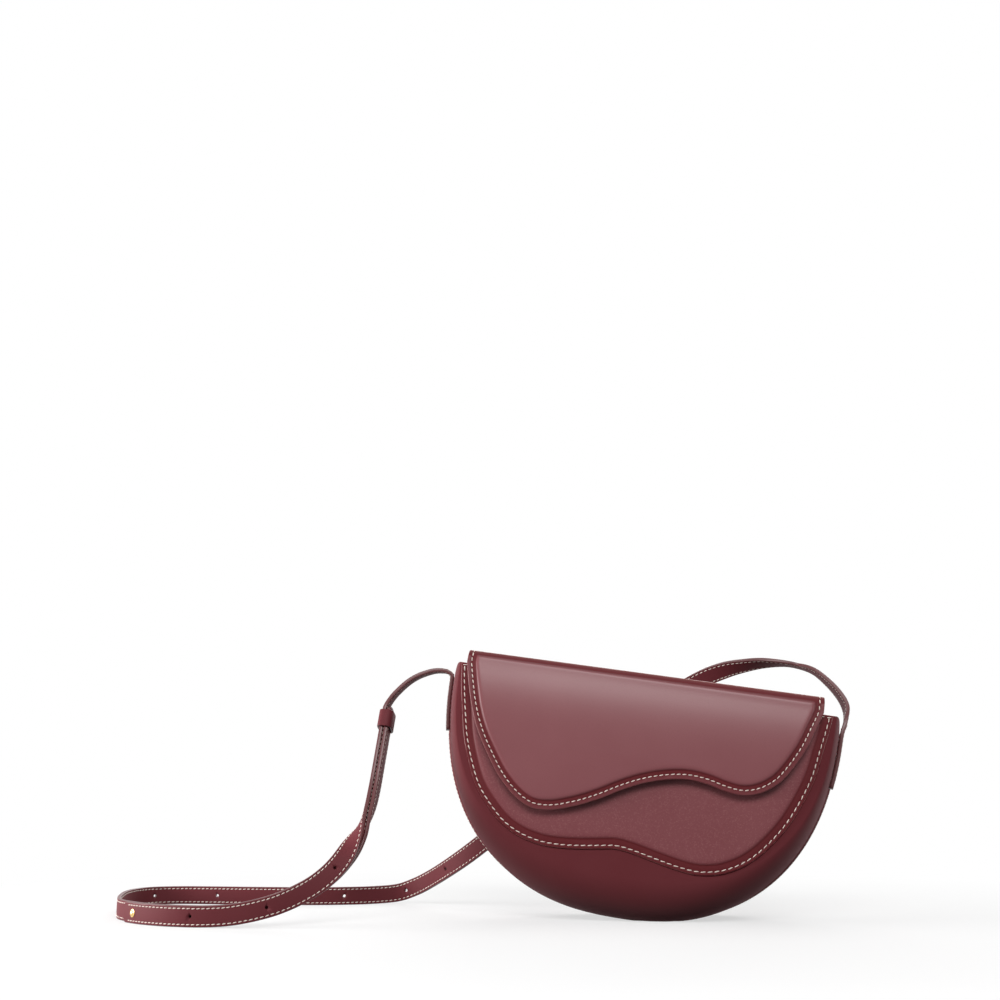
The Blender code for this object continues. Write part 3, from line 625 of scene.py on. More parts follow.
def tab_route(side, width):
    """Three points of the sewn end on the wall, from its top to its foot."""
    foot = asin(((NOTCH_DIP + TAB_LENGTH) / BACK_DROP) ** (BACK_EXPONENT / 2)) / pi
    points = []
    for share in (0.35, 0.70, 1.0):
        along = foot * share if side < 0 else 1 - foot * share
        here, _, _, out = wall_frame(along, 0.5)
        points.append((tuple(STANCE @ (here + out * (SEAM + STRAP / 2))), width))
    return tuple(points)


apart = (STRAP + STRAP_GAP) / 2
double = ribbon_frames(DOUBLE_ROUTE)
outer, inner = beside(double, -apart), beside(double, apart)
start = tuple(reversed(tab_route(-1, LEFT_TAB))) + ARCH_ROUTE
arch = ribbon_frames(start + ((tuple(outer[0][0]), ALONG), (tuple(outer[STEPS][0]), ALONG)))
short_frames = arch[:-STEPS] + outer[1:]
loop = ribbon_frames(((tuple(inner[-1 - STEPS][0]), UP), (tuple(inner[-1][0]), UP)) + LOOP_ROUTE
                     + tab_route(1, RIGHT_TAB))
long_frames = inner + loop[STEPS + 1:]


def length_of(frames):
    return length([frame[0] for frame in frames])


def frame_at(frames, distance):
    """The frame at a distance along the frames."""
    i, share = next(walk([frame[0] for frame in frames], [distance]))
    (here, *directions), (there, *turned) = frames[i], frames[i + 1]
    return here.lerp(there, share), *(a.lerp(b, share).normalized() for a, b in zip(directions, turned))


print("short strap %.0f mm, long strap %.0f mm" % (length_of(short_frames) / MM, length_of(long_frames) / MM))

# %% [markdown]
# ## One saddle stitch, and a seam of them
#
# Every seam on the bag is hand-style saddle stitching: pale stitches 3 to 4 mm apart that lie a little
# slanted and dip into the leather at both ends. One stitch is modelled from a small sphere, stretched
# and with its ends pushed down, and then copied along each seam, longer where the seam's pitch is
# longer. A stitch has only a few dozen faces, because the bag carries about three thousand.

# %% Model one stitch
STITCH_PITCH, STITCH_LENGTH, STITCH_WIDTH, STITCH_HEIGHT = 3.0 * MM, 2.6 * MM, 0.66 * MM, 0.46 * MM
STITCH_SLANT, STITCH_DIP, THREAD_SINK = 0.14, 0.22 * MM, 0.10 * MM
deselect()
bpy.ops.mesh.primitive_uv_sphere_add(segments=8, ring_count=6, radius=1, rotation=(0, pi / 2, 0))
stitch = bpy.context.object
stitch.name = "stitch_pattern"
bpy.ops.object.transform_apply(rotation=True)
edit(stitch)
bpy.ops.transform.resize(value=(STITCH_LENGTH / 2, STITCH_WIDTH / 2, STITCH_HEIGHT / 2))
leave()
for vertex in stitch.data.vertices:
    share = abs(vertex.co.x) / (STITCH_LENGTH / 2)
    vertex.co.z -= STITCH_DIP * share ** 3
stitch_points = [vertex.co.copy() for vertex in stitch.data.vertices]
stitch_faces = [tuple(face.vertices) for face in stitch.data.polygons]
bpy.data.objects.remove(stitch)
print("one stitch:", len(stitch_faces), "faces")


def sew(name, spots, body, slot, stretch=1.0):
    """Stitches at spots of (point, direction of the seam, outward normal), as one mesh on a body."""
    points, faces = [], []
    for point, along, out in spots:
        side = out.cross(along).normalized()
        ahead = (along * cos(STITCH_SLANT) + side * sin(STITCH_SLANT)).normalized()
        side = out.cross(ahead).normalized()
        base = len(points)
        for spot in stitch_points:
            points.append(point + ahead * spot.x * stretch + side * spot.y + out * spot.z)
        for face in stitch_faces:
            faces.append(tuple(base + index for index in face))
    mesh = bpy.data.meshes.new(name)
    mesh.from_pydata(points, [], faces)
    mesh.materials.append(THREAD)
    mesh.shade_smooth()
    settle(put(mesh), body, slot)
    print(name, len(spots))


def seam_spots(frames, offset, lift, low, high):
    """Spots along a strap between its ends, beside its middle, on the face that lift points to."""
    total = length_of(frames)
    count = int((total - low - high) / STITCH_PITCH)
    spots = []
    for i in range(count):
        centre, along, across, normal = frame_at(frames, low + (i + 0.5) * STITCH_PITCH)
        out = normal if lift > 0 else -normal
        spots.append((centre + across * offset + normal * lift, along, out))
    return spots


# %% [markdown]
# ## Straps
#
# A strap is two layers of leather glued, stitched near both edges, trimmed, and painted on the cut
# edges. Its section is a flat rectangle with soft corners and a shallow groove where each seam pulls the
# leather in. One quarter of it is drawn, and the rest mirrors it.

# %% Section of a strap
HALF_WIDTH, HALF_STRAP = STRAP_WIDTH / 2, STRAP / 2
SEAM_INSET = 1.55 * MM
GROOVE = 0.10 * MM
seam_place = HALF_WIDTH - SEAM_INSET
quarter = (
    (HALF_WIDTH, 0.0), (HALF_WIDTH - 0.02 * MM, 0.62 * HALF_STRAP),
    (HALF_WIDTH - 0.14 * MM, 0.86 * HALF_STRAP), (HALF_WIDTH - 0.42 * MM, 0.98 * HALF_STRAP),
    (HALF_WIDTH - 0.80 * MM, HALF_STRAP), (seam_place + 0.35 * MM, HALF_STRAP),
    (seam_place, HALF_STRAP - GROOVE), (seam_place - 0.35 * MM, HALF_STRAP),
    (seam_place - 1.2 * MM, HALF_STRAP + 0.04 * MM), (0.0, HALF_STRAP + 0.06 * MM))
section = list(quarter)
section += [(-a, n) for a, n in reversed(quarter[:-1])]
section += [(a, -n) for a, n in reversed(section[1:-1])]
print("section points:", len(section))

# %% [markdown]
# ## A strap from its section
#
# The section is carried along the route, ring by ring, which keeps the strap's width and thickness true
# through every turn. The narrow sides take the dark edge paint, the tip is rounded by narrower rings, and
# the holes are punched with round cutters.

# %% Carry the section and punch the holes
TIP_RADIUS, RING_STEP, TIP_RINGS, PAINTED = 2.6 * MM, 2.2 * MM, (0.15, 0.4, 0.8, 1.3, 1.9), 3


def tip_width(distance):
    """Share of the width that is left at a distance from a rounded tip."""
    if distance >= TIP_RADIUS:
        return 1.0
    rounded = (TIP_RADIUS ** 2 - (TIP_RADIUS - distance) ** 2) ** 0.5
    return (HALF_WIDTH - TIP_RADIUS + rounded) / HALF_WIDTH


def strap(name, frames, tip_at_start):
    """A strap along its frames, with one rounded tip."""
    total = length_of(frames)
    tip = 0.0 if tip_at_start else total
    steps = round(total / RING_STEP)
    spots = {0.0, total} | {total * i / steps for i in range(steps)}
    spots |= {abs(tip - distance * MM) for distance in TIP_RINGS}
    count = len(section)
    shape = bmesh.new()
    rings = []
    for spot in sorted(spots):
        centre, _, across, normal = frame_at(frames, spot)
        share = tip_width(abs(spot - tip))
        rings.append([shape.verts.new(centre + across * a * share + normal * n) for a, n in section])
    for first, second in zip(rings, rings[1:]):
        for i in range(count):
            face = shape.faces.new((first[i], first[(i + 1) % count], second[(i + 1) % count], second[i]))
            place = i % (count // 2)
            face.material_index = 1 if place < PAINTED or place >= count // 2 - PAINTED else 0
            face.smooth = True
    for ring, turned in ((rings[0], True), (rings[-1], False)):
        cap = shape.faces.new(reversed(ring) if turned else ring)
        cap.material_index = 1
    bmesh.ops.recalc_face_normals(shape, faces=shape.faces)
    mesh = bpy.data.meshes.new(name)
    shape.to_mesh(mesh)
    shape.free()
    mesh.materials.append(STRAP_LEATHER)
    mesh.materials.append(STRAP_EDGE)
    return put(mesh)


def punch(piece, frames, places, radius):
    """Round holes through a strap, all taken out by one cutter."""
    cutters = []
    for place in places:
        centre, along, across, normal = frame_at(frames, place)
        deselect()
        bpy.ops.mesh.primitive_cylinder_add(vertices=20, radius=radius, depth=3 * STRAP)
        cutter = bpy.context.object
        cutter.data.transform(axes_at(centre, across, normal.cross(across), normal))
        cutter.data.materials.append(STRAP_EDGE)
        cutters.append(cutter)
    deselect()
    for cutter in cutters:
        cutter.select_set(True)
    bpy.context.view_layer.objects.active = cutters[0]
    bpy.ops.object.join()
    apply(piece, "BOOLEAN", operation="DIFFERENCE", object=cutters[0], solver="EXACT")
    bpy.data.objects.remove(cutters[0])


print("rings stand %.1f mm apart" % (RING_STEP / MM))

# %% [markdown]
# ## The two straps and their holes
#
# Both straps have holes with the same step, so that the length can be changed at the stud: three on the
# short one and three to match on the long one's end, then eight beyond the stud.
# The line that the long strap follows is also listed, from the foot of its sewn end outwards.

# %% Make the two straps
HOLE_PITCH, STUD_INSET = 44.5 * MM, 11.5 * MM
HOLE_RADIUS, STUD_SHAFT = 1.0 * MM, 1.2 * MM
strap_short = strap("short_strap", short_frames, False)
strap_long = strap("long_strap", long_frames, True)
stud_place = length_of(short_frames) - STUD_INSET
stud_on_long = length_of(inner) - STUD_INSET
short_places = [stud_place - i * HOLE_PITCH for i in range(1, 4)]
long_places = [stud_on_long + i * HOLE_PITCH for i in range(-3, 9) if i]
punch(strap_short, short_frames, short_places, HOLE_RADIUS)
punch(strap_long, long_frames, long_places, HOLE_RADIUS)
settle(strap_short, "bag", "strap_short", "strap_short", "strap_tab_left")
settle(strap_long, "bag", "strap_long", "strap_long", "strap_tab_right")
long_path = [tuple(frame[0]) for frame in reversed(long_frames)]
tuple(long_path[0])
length_of(long_frames)
print("holes:", len(short_places), "and", len(long_places))

# %% [markdown]
# ## Stitches along the straps
#
# The saddle seam runs 1.5 mm inside both edges and shows on both faces. The stitches stop short of the
# rounded tips.

# %% Sew the straps
SEAMED_STRAPS = (("short_strap_stitches", short_frames, 2.0 * MM, 4.5 * MM, "strap_short"),
                 ("long_strap_stitches", long_frames, 4.5 * MM, 2.0 * MM, "strap_long"))
for name, frames, low, high, slot in SEAMED_STRAPS:
    spots = []
    for offset in (-seam_place, seam_place):
        for lift in (HALF_STRAP - GROOVE / 2, -HALF_STRAP + GROOVE / 2):
            spots += seam_spots(frames, offset, lift, low, high)
    sew(name, spots, "bag", slot)

# %% [markdown]
# ## Plates with a wavy edge
#
# The flap and the front panel are made the same way on the real bag. A board is laid on the leather,
# wet leather is pressed over it, and the flat border left around it is stitched. So both start as one
# flat face in the shape of the outline. It is extruded to the leather's thickness and then inset again
# and again, each time a little higher or lower: the rounded painted edge, the flat border with the
# groove that the thread pulls in, the pressed channel, and the soft roll up to the raised middle.
# Insetting keeps every step parallel to the wavy edge, which a grid can't do.

# %% Outlines that can be inset
def closed(curve, corners):
    """The outline that follows a curve and goes back to its start by straight lines past the corners."""
    outline = spaced(curve, 2 * MM)[:-1]
    for first, second in zip([curve[-1]] + corners, corners + [curve[0]]):
        outline += spaced([first, second], 2.5 * MM)[:-1]
    return outline


def open_corners(outline, reach):
    """Drop the points so close to a sharp corner that insetting by the reach would fold them over."""
    count = len(outline)
    kept = [True] * count
    for i in range(count):
        here, before, after = (Vector(outline[k % count]) for k in (i, i - 1, i + 1))
        bend = (here - before).angle(after - here)
        if bend > radians(15):
            clear = reach * tan(bend / 2) + 0.5 * MM
            for k in range(count):
                if k != i and (Vector(outline[k]) - here).length < clear:
                    kept[k] = False
    return [point for point, keep in zip(outline, kept) if keep]


print("outline helpers are ready")

# %% [markdown]
# ## A plate, ring by ring
#
# The rings are pairs of a width and a rise in mm, so the section of a padded border can be read from
# them. A plate that will be bent is also cut across in rows, because a face can't bend.

# %% Extrude, inset and cut a plate
ROUNDED_EDGE = ((0.08, 0.30), (0.22, 0.22), (0.30, 0.08))


def steps_in(rings):
    """Inset the selected face again and again; each ring is a width and a rise in mm."""
    for width, rise in rings:
        bpy.ops.mesh.inset(thickness=width * MM, depth=rise * MM, use_even_offset=True)
    leave()


def plate(name, outline, thickness, rings=()):
    """A plate in the shape of the outline, in X and Y, with its upper side inset ring by ring."""
    deselect()
    bpy.ops.mesh.primitive_circle_add(vertices=len(outline), radius=1, fill_type="NGON")
    piece = bpy.context.object
    piece.name = piece.data.name = name
    for vertex, (x, y) in zip(piece.data.vertices, outline):
        vertex.co = (x, y, 0)
    edit(piece)
    bpy.ops.mesh.normals_make_consistent(inside=False)
    leave()
    if piece.data.polygons[0].normal.z < 0:
        piece.data.flip_normals()
    edit(piece)
    bpy.ops.mesh.extrude_region_move(TRANSFORM_OT_translate={"value": (0, 0, thickness)})
    steps_in(rings)
    return piece


def inset_under(piece, rings):
    """Inset the flat underside of a plate ring by ring."""
    edit(piece)
    bpy.ops.mesh.select_mode(type="FACE")
    bpy.ops.mesh.select_all(action="DESELECT")
    leave()
    for face in piece.data.polygons:
        face.select = face.center.z < 0.01 * MM and face.normal.z < -0.5
    bpy.ops.object.mode_set(mode="EDIT")
    steps_in(rings)


def slice_rows(piece, places):
    """Cut across the piece at the given places in Y, so that it can be bent there."""
    edit(piece)
    for place in places:
        bpy.ops.mesh.select_all(action="SELECT")
        bpy.ops.mesh.bisect(plane_co=(0, place, 0), plane_no=(0, 1, 0))
    leave()


print("plate helpers are ready")

# %% [markdown]
# ## Marking and placing a plate
#
# Where the leather is pressed or painted depends on the distance from the cut edge, which a search tree
# over the outline's points gives quickly. It is measured while the plate is flat, and the plate is turned
# upright afterwards.

# %% Mark, paint and place a plate
TO_FRONT = Matrix(((1, 0, 0, 0), (0, 0, -1, 0), (0, 1, 0, 0), (0, 0, 0, 1)))
TO_BACK = Matrix(((-1, 0, 0, 0), (0, 0, 1, 0), (0, 1, 0, 0), (0, 0, 0, 1)))


def near_edge(outline):
    dense = spaced([Vector((x, y, 0)) for x, y in list(outline) + [outline[0]]], 0.5 * MM)
    tree = KDTree(len(dense))
    for index, point in enumerate(dense):
        tree.insert(point, index)
    tree.balance()
    return lambda x, y: tree.find((x, y, 0))[2]


def tag(piece, name, values):
    attribute = piece.data.attributes.new(name, "FLOAT", "POINT")
    for item, value in zip(attribute.data, values):
        item.value = value


def paint_edge(piece, finish, test):
    """Give the faces that pass the test the edge paint."""
    piece.data.materials.append(finish)
    last = len(piece.data.materials) - 1
    for face in piece.data.polygons:
        if test(face):
            face.material_index = last


def cut_edge(distance):
    """A test for the faces of the rounded edge of a plate that still lies flat."""
    return lambda face: abs(face.normal.z) < 0.9 and distance(*face.center[:2]) < 0.25 * MM


def smooth(piece, angle=50):
    activate(piece)
    bpy.ops.object.shade_smooth_by_angle(angle=radians(angle))


def stand(piece):
    """Turn a piece that was shaped in the bag's own frame into its place."""
    piece.data.transform(STANCE)
    piece.data.update()


def fit_plate(piece, y, matrix, node):
    """Turn a flat plate to the front or the back at a place in Y, and put it in its node's place."""
    piece.data.transform(Matrix.Translation((0, y, 0)) @ matrix)
    smooth(piece)
    stand(piece)
    settle(piece, "bag", node, node)


print("plates can be marked and placed")

# %% [markdown]
# ## The flap's profile
#
# Seen from the side, the flap is one strip of leather. Its lap is sewn to the back, it bends over the
# back edge, runs across the top, folds over the front edge and hangs down the front. The flap is modelled
# flat, where a place along the strip and a height above it say everything, and is then rolled along
# that line. That is how a flap is made, and it lets one set of insets serve the top, the fold and the face.

# %% Roll a flat point along the profile
FLAP_HALF_WIDTH, FLAP_DROP = 109 * MM, 81 * MM
FACE_Y, FOLD_Y, FOLD_Z, FOLD_RADIUS = -36.8 * MM, -31.1 * MM, 1.5 * MM, 5.7 * MM
TOP_END_Y, TOP_END_Z, BEND_RADIUS, LAP = 30.4 * MM, 0.2 * MM, 5.0 * MM, 10 * MM
HANG_OUT, HANG_LENGTH, SWELL = 3.0 * MM, 40 * MM, 0.35 * MM
LIFT_LEFT, LIFT_MORE, LIFT_REACH = 0.9 * MM, 2.1 * MM, 34 * MM
FOLD_LENGTH = FOLD_RADIUS * pi / 2
TOP_START_Z = FOLD_Z + FOLD_RADIUS
TOP_LENGTH = TOP_END_Y - FOLD_Y
BEND_LENGTH = BEND_RADIUS * pi / 2
TOP_AT, BEND_AT = FOLD_LENGTH, FOLD_LENGTH + TOP_LENGTH
LAP_AT = BEND_AT + BEND_LENGTH
STRIP_END = LAP_AT + LAP


def profile(s):
    """Place and outward direction in Y and Z at a distance along the strip, from the start of the fold."""
    if s <= 0:
        return (FACE_Y, FOLD_Z + s), (-1, 0)
    if s <= TOP_AT:
        angle = s / FOLD_RADIUS
        y, z = -cos(angle), sin(angle)
        return (FOLD_Y + FOLD_RADIUS * y, FOLD_Z + FOLD_RADIUS * z), (y, z)
    if s <= BEND_AT:
        share = (s - TOP_AT) / TOP_LENGTH
        fall = TOP_START_Z - TOP_END_Z - BEND_RADIUS
        return (FOLD_Y + TOP_LENGTH * share, TOP_START_Z - fall * share), (0, 1)
    if s <= LAP_AT:
        angle = (s - BEND_AT) / BEND_RADIUS
        return ((TOP_END_Y + BEND_RADIUS * sin(angle), TOP_END_Z + BEND_RADIUS * cos(angle)),
                (sin(angle), cos(angle)))
    return (TOP_END_Y + BEND_RADIUS, TOP_END_Z - (s - LAP_AT)), (1, 0)


def lift(x, s):
    """How far the front of the flap stands up from the rim, more at the right than at the left."""
    share = (x + FLAP_HALF_WIDTH) / (2 * FLAP_HALF_WIDTH)
    near_fold = smoothstep(-6 * MM, TOP_AT, s) * (1 - smoothstep(TOP_AT, TOP_AT + LIFT_REACH, s))
    return (LIFT_LEFT + LIFT_MORE * share) * near_fold


def swell(x, s):
    """The padded face swells out a little in the middle."""
    across = max(0.0, 1 - (x / (0.92 * FLAP_HALF_WIDTH)) ** 2)
    down = smoothstep(2 * MM, -22 * MM, s) * smoothstep(-FLAP_DROP, -FLAP_DROP * 0.5, s)
    return SWELL * across * down


def hang(s):
    """The face hangs a little away from the panel, so its top leans back and catches the light."""
    return HANG_OUT * (1 - max(0.0, 1 + min(s, 0) / HANG_LENGTH) ** 3)


def rolled(x, s, height):
    (y, z), (out_y, out_z) = profile(s)
    return Vector((x, y + out_y * height - hang(s), z + out_z * height + lift(x, s)))


print("strip: fold %.1f, top %.1f, bend %.1f mm" % (FOLD_LENGTH / MM, TOP_LENGTH / MM, BEND_LENGTH / MM))

# %% [markdown]
# ## The flap's leather
#
# The outline runs down the left side, along the listed wavy edge and up the right side. Its
# border is stitched 2.9 mm inside the edge, and the padded middle stands 1.3 mm higher. Below, the
# leather is hollowed where the board lies. The padding ends in the lower part of the fold, along a
# straight line, so the fold itself, the top and the lap stay plain.

# %% Model the flap
wavy = smooth_line([(x * FLAP_HALF_WIDTH, z * FLAP_DROP - FOLD_Z) for x, z in FLAP_EDGE_SHARES], 8)
left_x, right_x = wavy[0].x, wavy[-1].x
TAPER = 3 * MM
strip_top = [(right_x, TOP_AT), (right_x - TAPER, BEND_AT), (right_x - TAPER, STRIP_END)]
strip_top += [(left_x + TAPER, STRIP_END), (left_x + TAPER, BEND_AT), (left_x, TOP_AT)]
strip_top = [Vector(point) for point in strip_top]
flap_outline = open_corners(closed(wavy, strip_top), 11 * MM)
flap_distance = near_edge(flap_outline)
BORDER_RINGS = ((1.9, 0), (0.4, -0.15), (0.4, 0.15), (1.4, 0))
ROLL_RINGS = ((0.3, 0.0), (0.35, 0.18), (0.35, 0.34), (0.45, 0.36), (0.6, 0.24), (0.9, 0.10), (1.2, 0.03))
LEATHER = 1.6 * MM
flap = plate("flap", flap_outline, 1.0 * MM, ROUNDED_EDGE + BORDER_RINGS + ROLL_RINGS)
inset_under(flap, ((8.5, 0), (0.8, -1.2)))
PAD_END = 2.2 * MM
fold_rows = [PAD_END + step * 0.3 * MM for step in range(-2, 8)]
fold_rows += [0, 0.8 * MM, 5 * MM, 6 * MM, 7 * MM, 8 * MM, TOP_AT]
bend_rows = [BEND_AT + BEND_LENGTH * step / 8 for step in range(9)]
top_rows = [TOP_AT + TOP_LENGTH * step / 6 for step in range(1, 6)]
face_rows = [-4 * MM * step for step in range(1, 20)]
slice_rows(flap, fold_rows + bend_rows + top_rows + face_rows)
print("flat flap:", len(flap.data.vertices), "points")

# %% [markdown]
# ## Rolling the flap
#
# Each point keeps its distance along the strip and its height. The painted edge is on the faces that
# stand upright while the flap is still flat, so they are marked before it is rolled. The border beside
# the seam, the fold and the top are pressed. The lip outside the seam is pressed only partly, which
# paints a highlight along the edge, and a thin band on the fold gets a painted orange highlight. The
# lap stays on the bag when the flap is lifted, and the rest turns on the hinge.

# %% Roll the flap and hang it
def relief_left(s):
    """How much of the relief is left: all of it on the face, nothing above the padding's end."""
    return 1 - smoothstep(PAD_END - 0.4 * MM, PAD_END + 1.4 * MM, s)


def roll_up(piece, base):
    """Roll a flat piece whose height of zero lies at the given depth below the border's face."""
    for vertex in piece.data.vertices:
        x, s, z = vertex.co
        height = z + base
        inside = flap_distance(x, s)
        if inside > 4 * MM:
            level = 0.0 if height > -0.25 * MM else base
            height = level + (height - level) * relief_left(s) + swell(x, s) * min(1, inside / (12 * MM))
        vertex.co = rolled(x, s, height)


# The lip outside the seam is pressed only partly, which leaves it lighter: a painted highlight along the
# edge, with some real gloss from the coat.
FOLD_HIGHLIGHT_SHARE, LIP_PRESS_AND_PAINTED_HIGHLIGHT = 0.40, 0.55
flap.data.materials.append(FLAP_LEATHER)
pressed_and_painted_shade = []
for vertex in flap.data.vertices:
    gone = flap_distance(vertex.co.x, vertex.co.y)
    above = smoothstep(PAD_END - 0.6 * MM, PAD_END + 0.6 * MM, vertex.co.y)
    lip = LIP_PRESS_AND_PAINTED_HIGHLIGHT + (1 - LIP_PRESS_AND_PAINTED_HIGHLIGHT) * smoothstep(1.2 * MM, 2.4 * MM, gone)
    pressed_and_painted_shade.append(max(above, lip - lip * smoothstep(5.3 * MM, 6.6 * MM, gone)))
tag(flap, "pressed_and_painted_shade", pressed_and_painted_shade)
# A painted orange highlight on a thin band along the top of the fold.
painted_fold_highlight = []
for vertex in flap.data.vertices:
    s = vertex.co.y
    painted_fold_highlight.append(FOLD_HIGHLIGHT_SHARE * smoothstep(5 * MM, 8 * MM, s) * (1 - smoothstep(9 * MM, 13 * MM, s)))
tag(flap, "painted_fold_highlight", painted_fold_highlight)
paint_edge(flap, BODY_EDGE, cut_edge(flap_distance))
roll_up(flap, -LEATHER)
smooth(flap)
stand(flap)
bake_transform(flap)
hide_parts("flap_outer")
print("flap:", len(flap.data.polygons), "faces")

# %% [markdown]
# ## The flap's lining and stitches
#
# The lining is glued to the leather's back and trimmed with it, so both share one painted edge. It stops
# where the flap bends over the back. The saddle seam goes through both and shows on both sides.

# %% Line and sew the flap
FLAP_PITCH, FLAP_STRETCH, FLAP_SEAM_INSET = 3.4 * MM, 1.12, 2.9 * MM
LINING_THICKNESS = 1.3 * MM
lining_outline = open_corners([(x, s) for x, s in flap_outline if s < BEND_AT - 2 * MM], 9 * MM)
lining = plate("flap_lining_suede", lining_outline, LINING_THICKNESS)
inset_under(lining, ((2.9, 0), (6.0, 0)))
slice_rows(lining, fold_rows + top_rows + face_rows)
lining.data.materials.append(LINING)
paint_edge(lining, BODY_EDGE, lambda face: abs(face.normal.z) < 0.5)
for vertex in lining.data.vertices:
    x, s, z = vertex.co
    vertex.co = rolled(x, s, z - LEATHER - LINING_THICKNESS - 0.02 * MM)
smooth(lining)
stand(lining)
settle(lining, "flap", "flap_lining", "flap_lining")


def moved_in(line, distance):
    """An open line moved towards its left side."""
    moved = []
    for i, point in enumerate(line):
        along = (line[min(i + 1, len(line) - 1)] - line[max(i - 1, 0)]).normalized()
        moved.append(point + Vector((-along.y, along.x)) * distance)
    return moved


def spots_on(line, place, pitch):
    """Stitch spots along a flat line, on the surface that place(x, y, height) gives."""
    spots = []
    marks = spaced(line, pitch)
    for first, second in zip(marks, marks[1:]):
        middle = (first + second) / 2
        ahead = (second - first).normalized() * 0.5 * MM
        point = place(middle.x, middle.y, 0)
        along = place(*(middle + ahead), 0) - place(*(middle - ahead), 0)
        out = place(middle.x, middle.y, 1 * MM) - point
        spots.append((STANCE @ point, (TURN @ along).normalized(), (TURN @ out).normalized()))
    return spots


def upright(level, side):
    """An upright plane at a level in Y, for stitches on its front (-1) or its back (1)."""
    return lambda x, z, height: Vector((x, level + side * height, z))


side_down = [Vector((left_x + TAPER, BEND_AT - 4 * MM)), Vector((left_x, TOP_AT))]
side_up = [Vector((right_x, TOP_AT)), Vector((right_x - TAPER, BEND_AT - 4 * MM))]
flap_seam = moved_in(side_down + wavy + side_up, FLAP_SEAM_INSET)
flap_spots = spots_on(flap_seam, lambda x, s, height: rolled(x, s, height - THREAD_SINK), FLAP_PITCH)
under = -LEATHER - LINING_THICKNESS
flap_spots += spots_on(flap_seam, lambda x, s, height: rolled(x, s, under - height), FLAP_PITCH)
sew("flap_stitches", flap_spots, "flap", "flap_outer", FLAP_STRETCH)

# %% [markdown]
# ## The front panel
#
# The panel closes the front of the wall and is lap-sewn on the wall's margin, all round and along the
# rim. It is padded like the flap, and its grain is coarser, with pale flecks. The border is stitched
# 2.1 mm inside its edge.

# %% Model and sew the front panel
PANEL_HALF_WIDTH, PANEL_DROP, PANEL_BACK_Y, PANEL_BORDER = 113 * MM, 104 * MM, -31.15 * MM, 1.1 * MM
PANEL_PITCH, PANEL_STRETCH, PANEL_SEAM_INSET, RIM_SEAM_STEP = 4.0 * MM, 1.4, 2.1 * MM, (1.6 * MM, -1.7 * MM)
panel_wavy = smooth_line([(x * PANEL_HALF_WIDTH, z * PANEL_DROP) for x, z in PANEL_EDGE_SHARES], 8)
panel_outline = open_corners(closed(panel_wavy, []), 10 * MM)
panel_distance = near_edge(panel_outline)
PANEL_BORDER_RINGS = ((1.1, 0), (0.4, -0.15), (0.4, 0.15), (2.6, 0))
PANEL_ROLL_RINGS = ((0.4, 0.0), (0.4, 0.12), (0.4, 0.26), (0.5, 0.30), (0.7, 0.22), (1.0, 0.10), (1.3, 0.04))
panel = plate("panel", panel_outline, 0.5 * MM, ROUNDED_EDGE + PANEL_BORDER_RINGS + PANEL_ROLL_RINGS)
slice_rows(panel, [-6 * MM * step for step in range(1, 18)])
panel.data.materials.append(PANEL_LEATHER)
panel_inside = [panel_distance(vertex.co.x, vertex.co.y) for vertex in panel.data.vertices]
tag(panel, "pressed_and_painted_shade", [1 - smoothstep(5.9 * MM, 7.3 * MM, inside) for inside in panel_inside])
paint_edge(panel, BODY_EDGE, cut_edge(panel_distance))
fit_plate(panel, PANEL_BACK_Y, TO_FRONT, "front_panel")
panel_seam = moved_in(panel_wavy, PANEL_SEAM_INSET)
step_x, step_z = RIM_SEAM_STEP
rim_seam = [panel_seam[-1] + Vector((step_x, step_z)), panel_seam[0] + Vector((-step_x, step_z))]
panel_front = upright(PANEL_BACK_Y - PANEL_BORDER + THREAD_SINK, -1)
panel_spots = spots_on(panel_seam[2:-2], panel_front, PANEL_PITCH)
panel_spots += spots_on(rim_seam, panel_front, PANEL_PITCH)
sew("panel_stitches", panel_spots, "bag", "front_panel", PANEL_STRETCH)

# %% [markdown]
# ## The moulded wall
#
# A grid is laid on the wall's formula, with many rows near the front, where the leather rounds over from
# the flat margin, and near the back, where it turns out into the thin flange. It is thickened inwards
# to 2 mm, and the cut edges at the rim and the flange are softened and painted.

# %% Model the wall
COLUMNS, LINING_COLUMNS = 150, 100
MARGIN_WIDTH, MARGIN_DROP = 12 * MM, 24 * MM
DEPTHS = (0.0, 0.0004, 0.0015, 0.0035, 0.007, 0.012, 0.020, 0.030, 0.045, 0.06, 0.08, 0.10, 0.13, 0.16,
          0.20, 0.24, 0.28, 0.33, 0.38, 0.44, 0.50, 0.57, 0.64, 0.71, 0.78, 0.84, 0.89, 0.92, 0.94,
          0.955, 0.97, 0.985, 1.0)
MARGIN_STEPS = 4


def grid_on(name, columns, rows, place):
    """A grid of faces whose corners are put on place(column, row)."""
    deselect()
    bpy.ops.mesh.primitive_grid_add(x_subdivisions=columns, y_subdivisions=rows, size=2)
    piece = bpy.context.object
    piece.name = piece.data.name = name
    for vertex in piece.data.vertices:
        vertex.co = place(round((vertex.co.x + 1) / 2 * columns), round((vertex.co.y + 1) / 2 * rows))
    return piece


def wall_place(column, row):
    along = 1 - column / COLUMNS
    if row < MARGIN_STEPS:
        share = row / MARGIN_STEPS
        margin_x = RIM_HALF_WIDTH - MARGIN_WIDTH * (1 - share)
        margin_z = FRONT_DROP - MARGIN_DROP * (1 - share)
        x, z = d_point(margin_x, margin_z, FRONT_EXPONENT, pi * along)
        return Vector((x, FRONT, z))
    return wall_point(along, DEPTHS[row - MARGIN_STEPS])


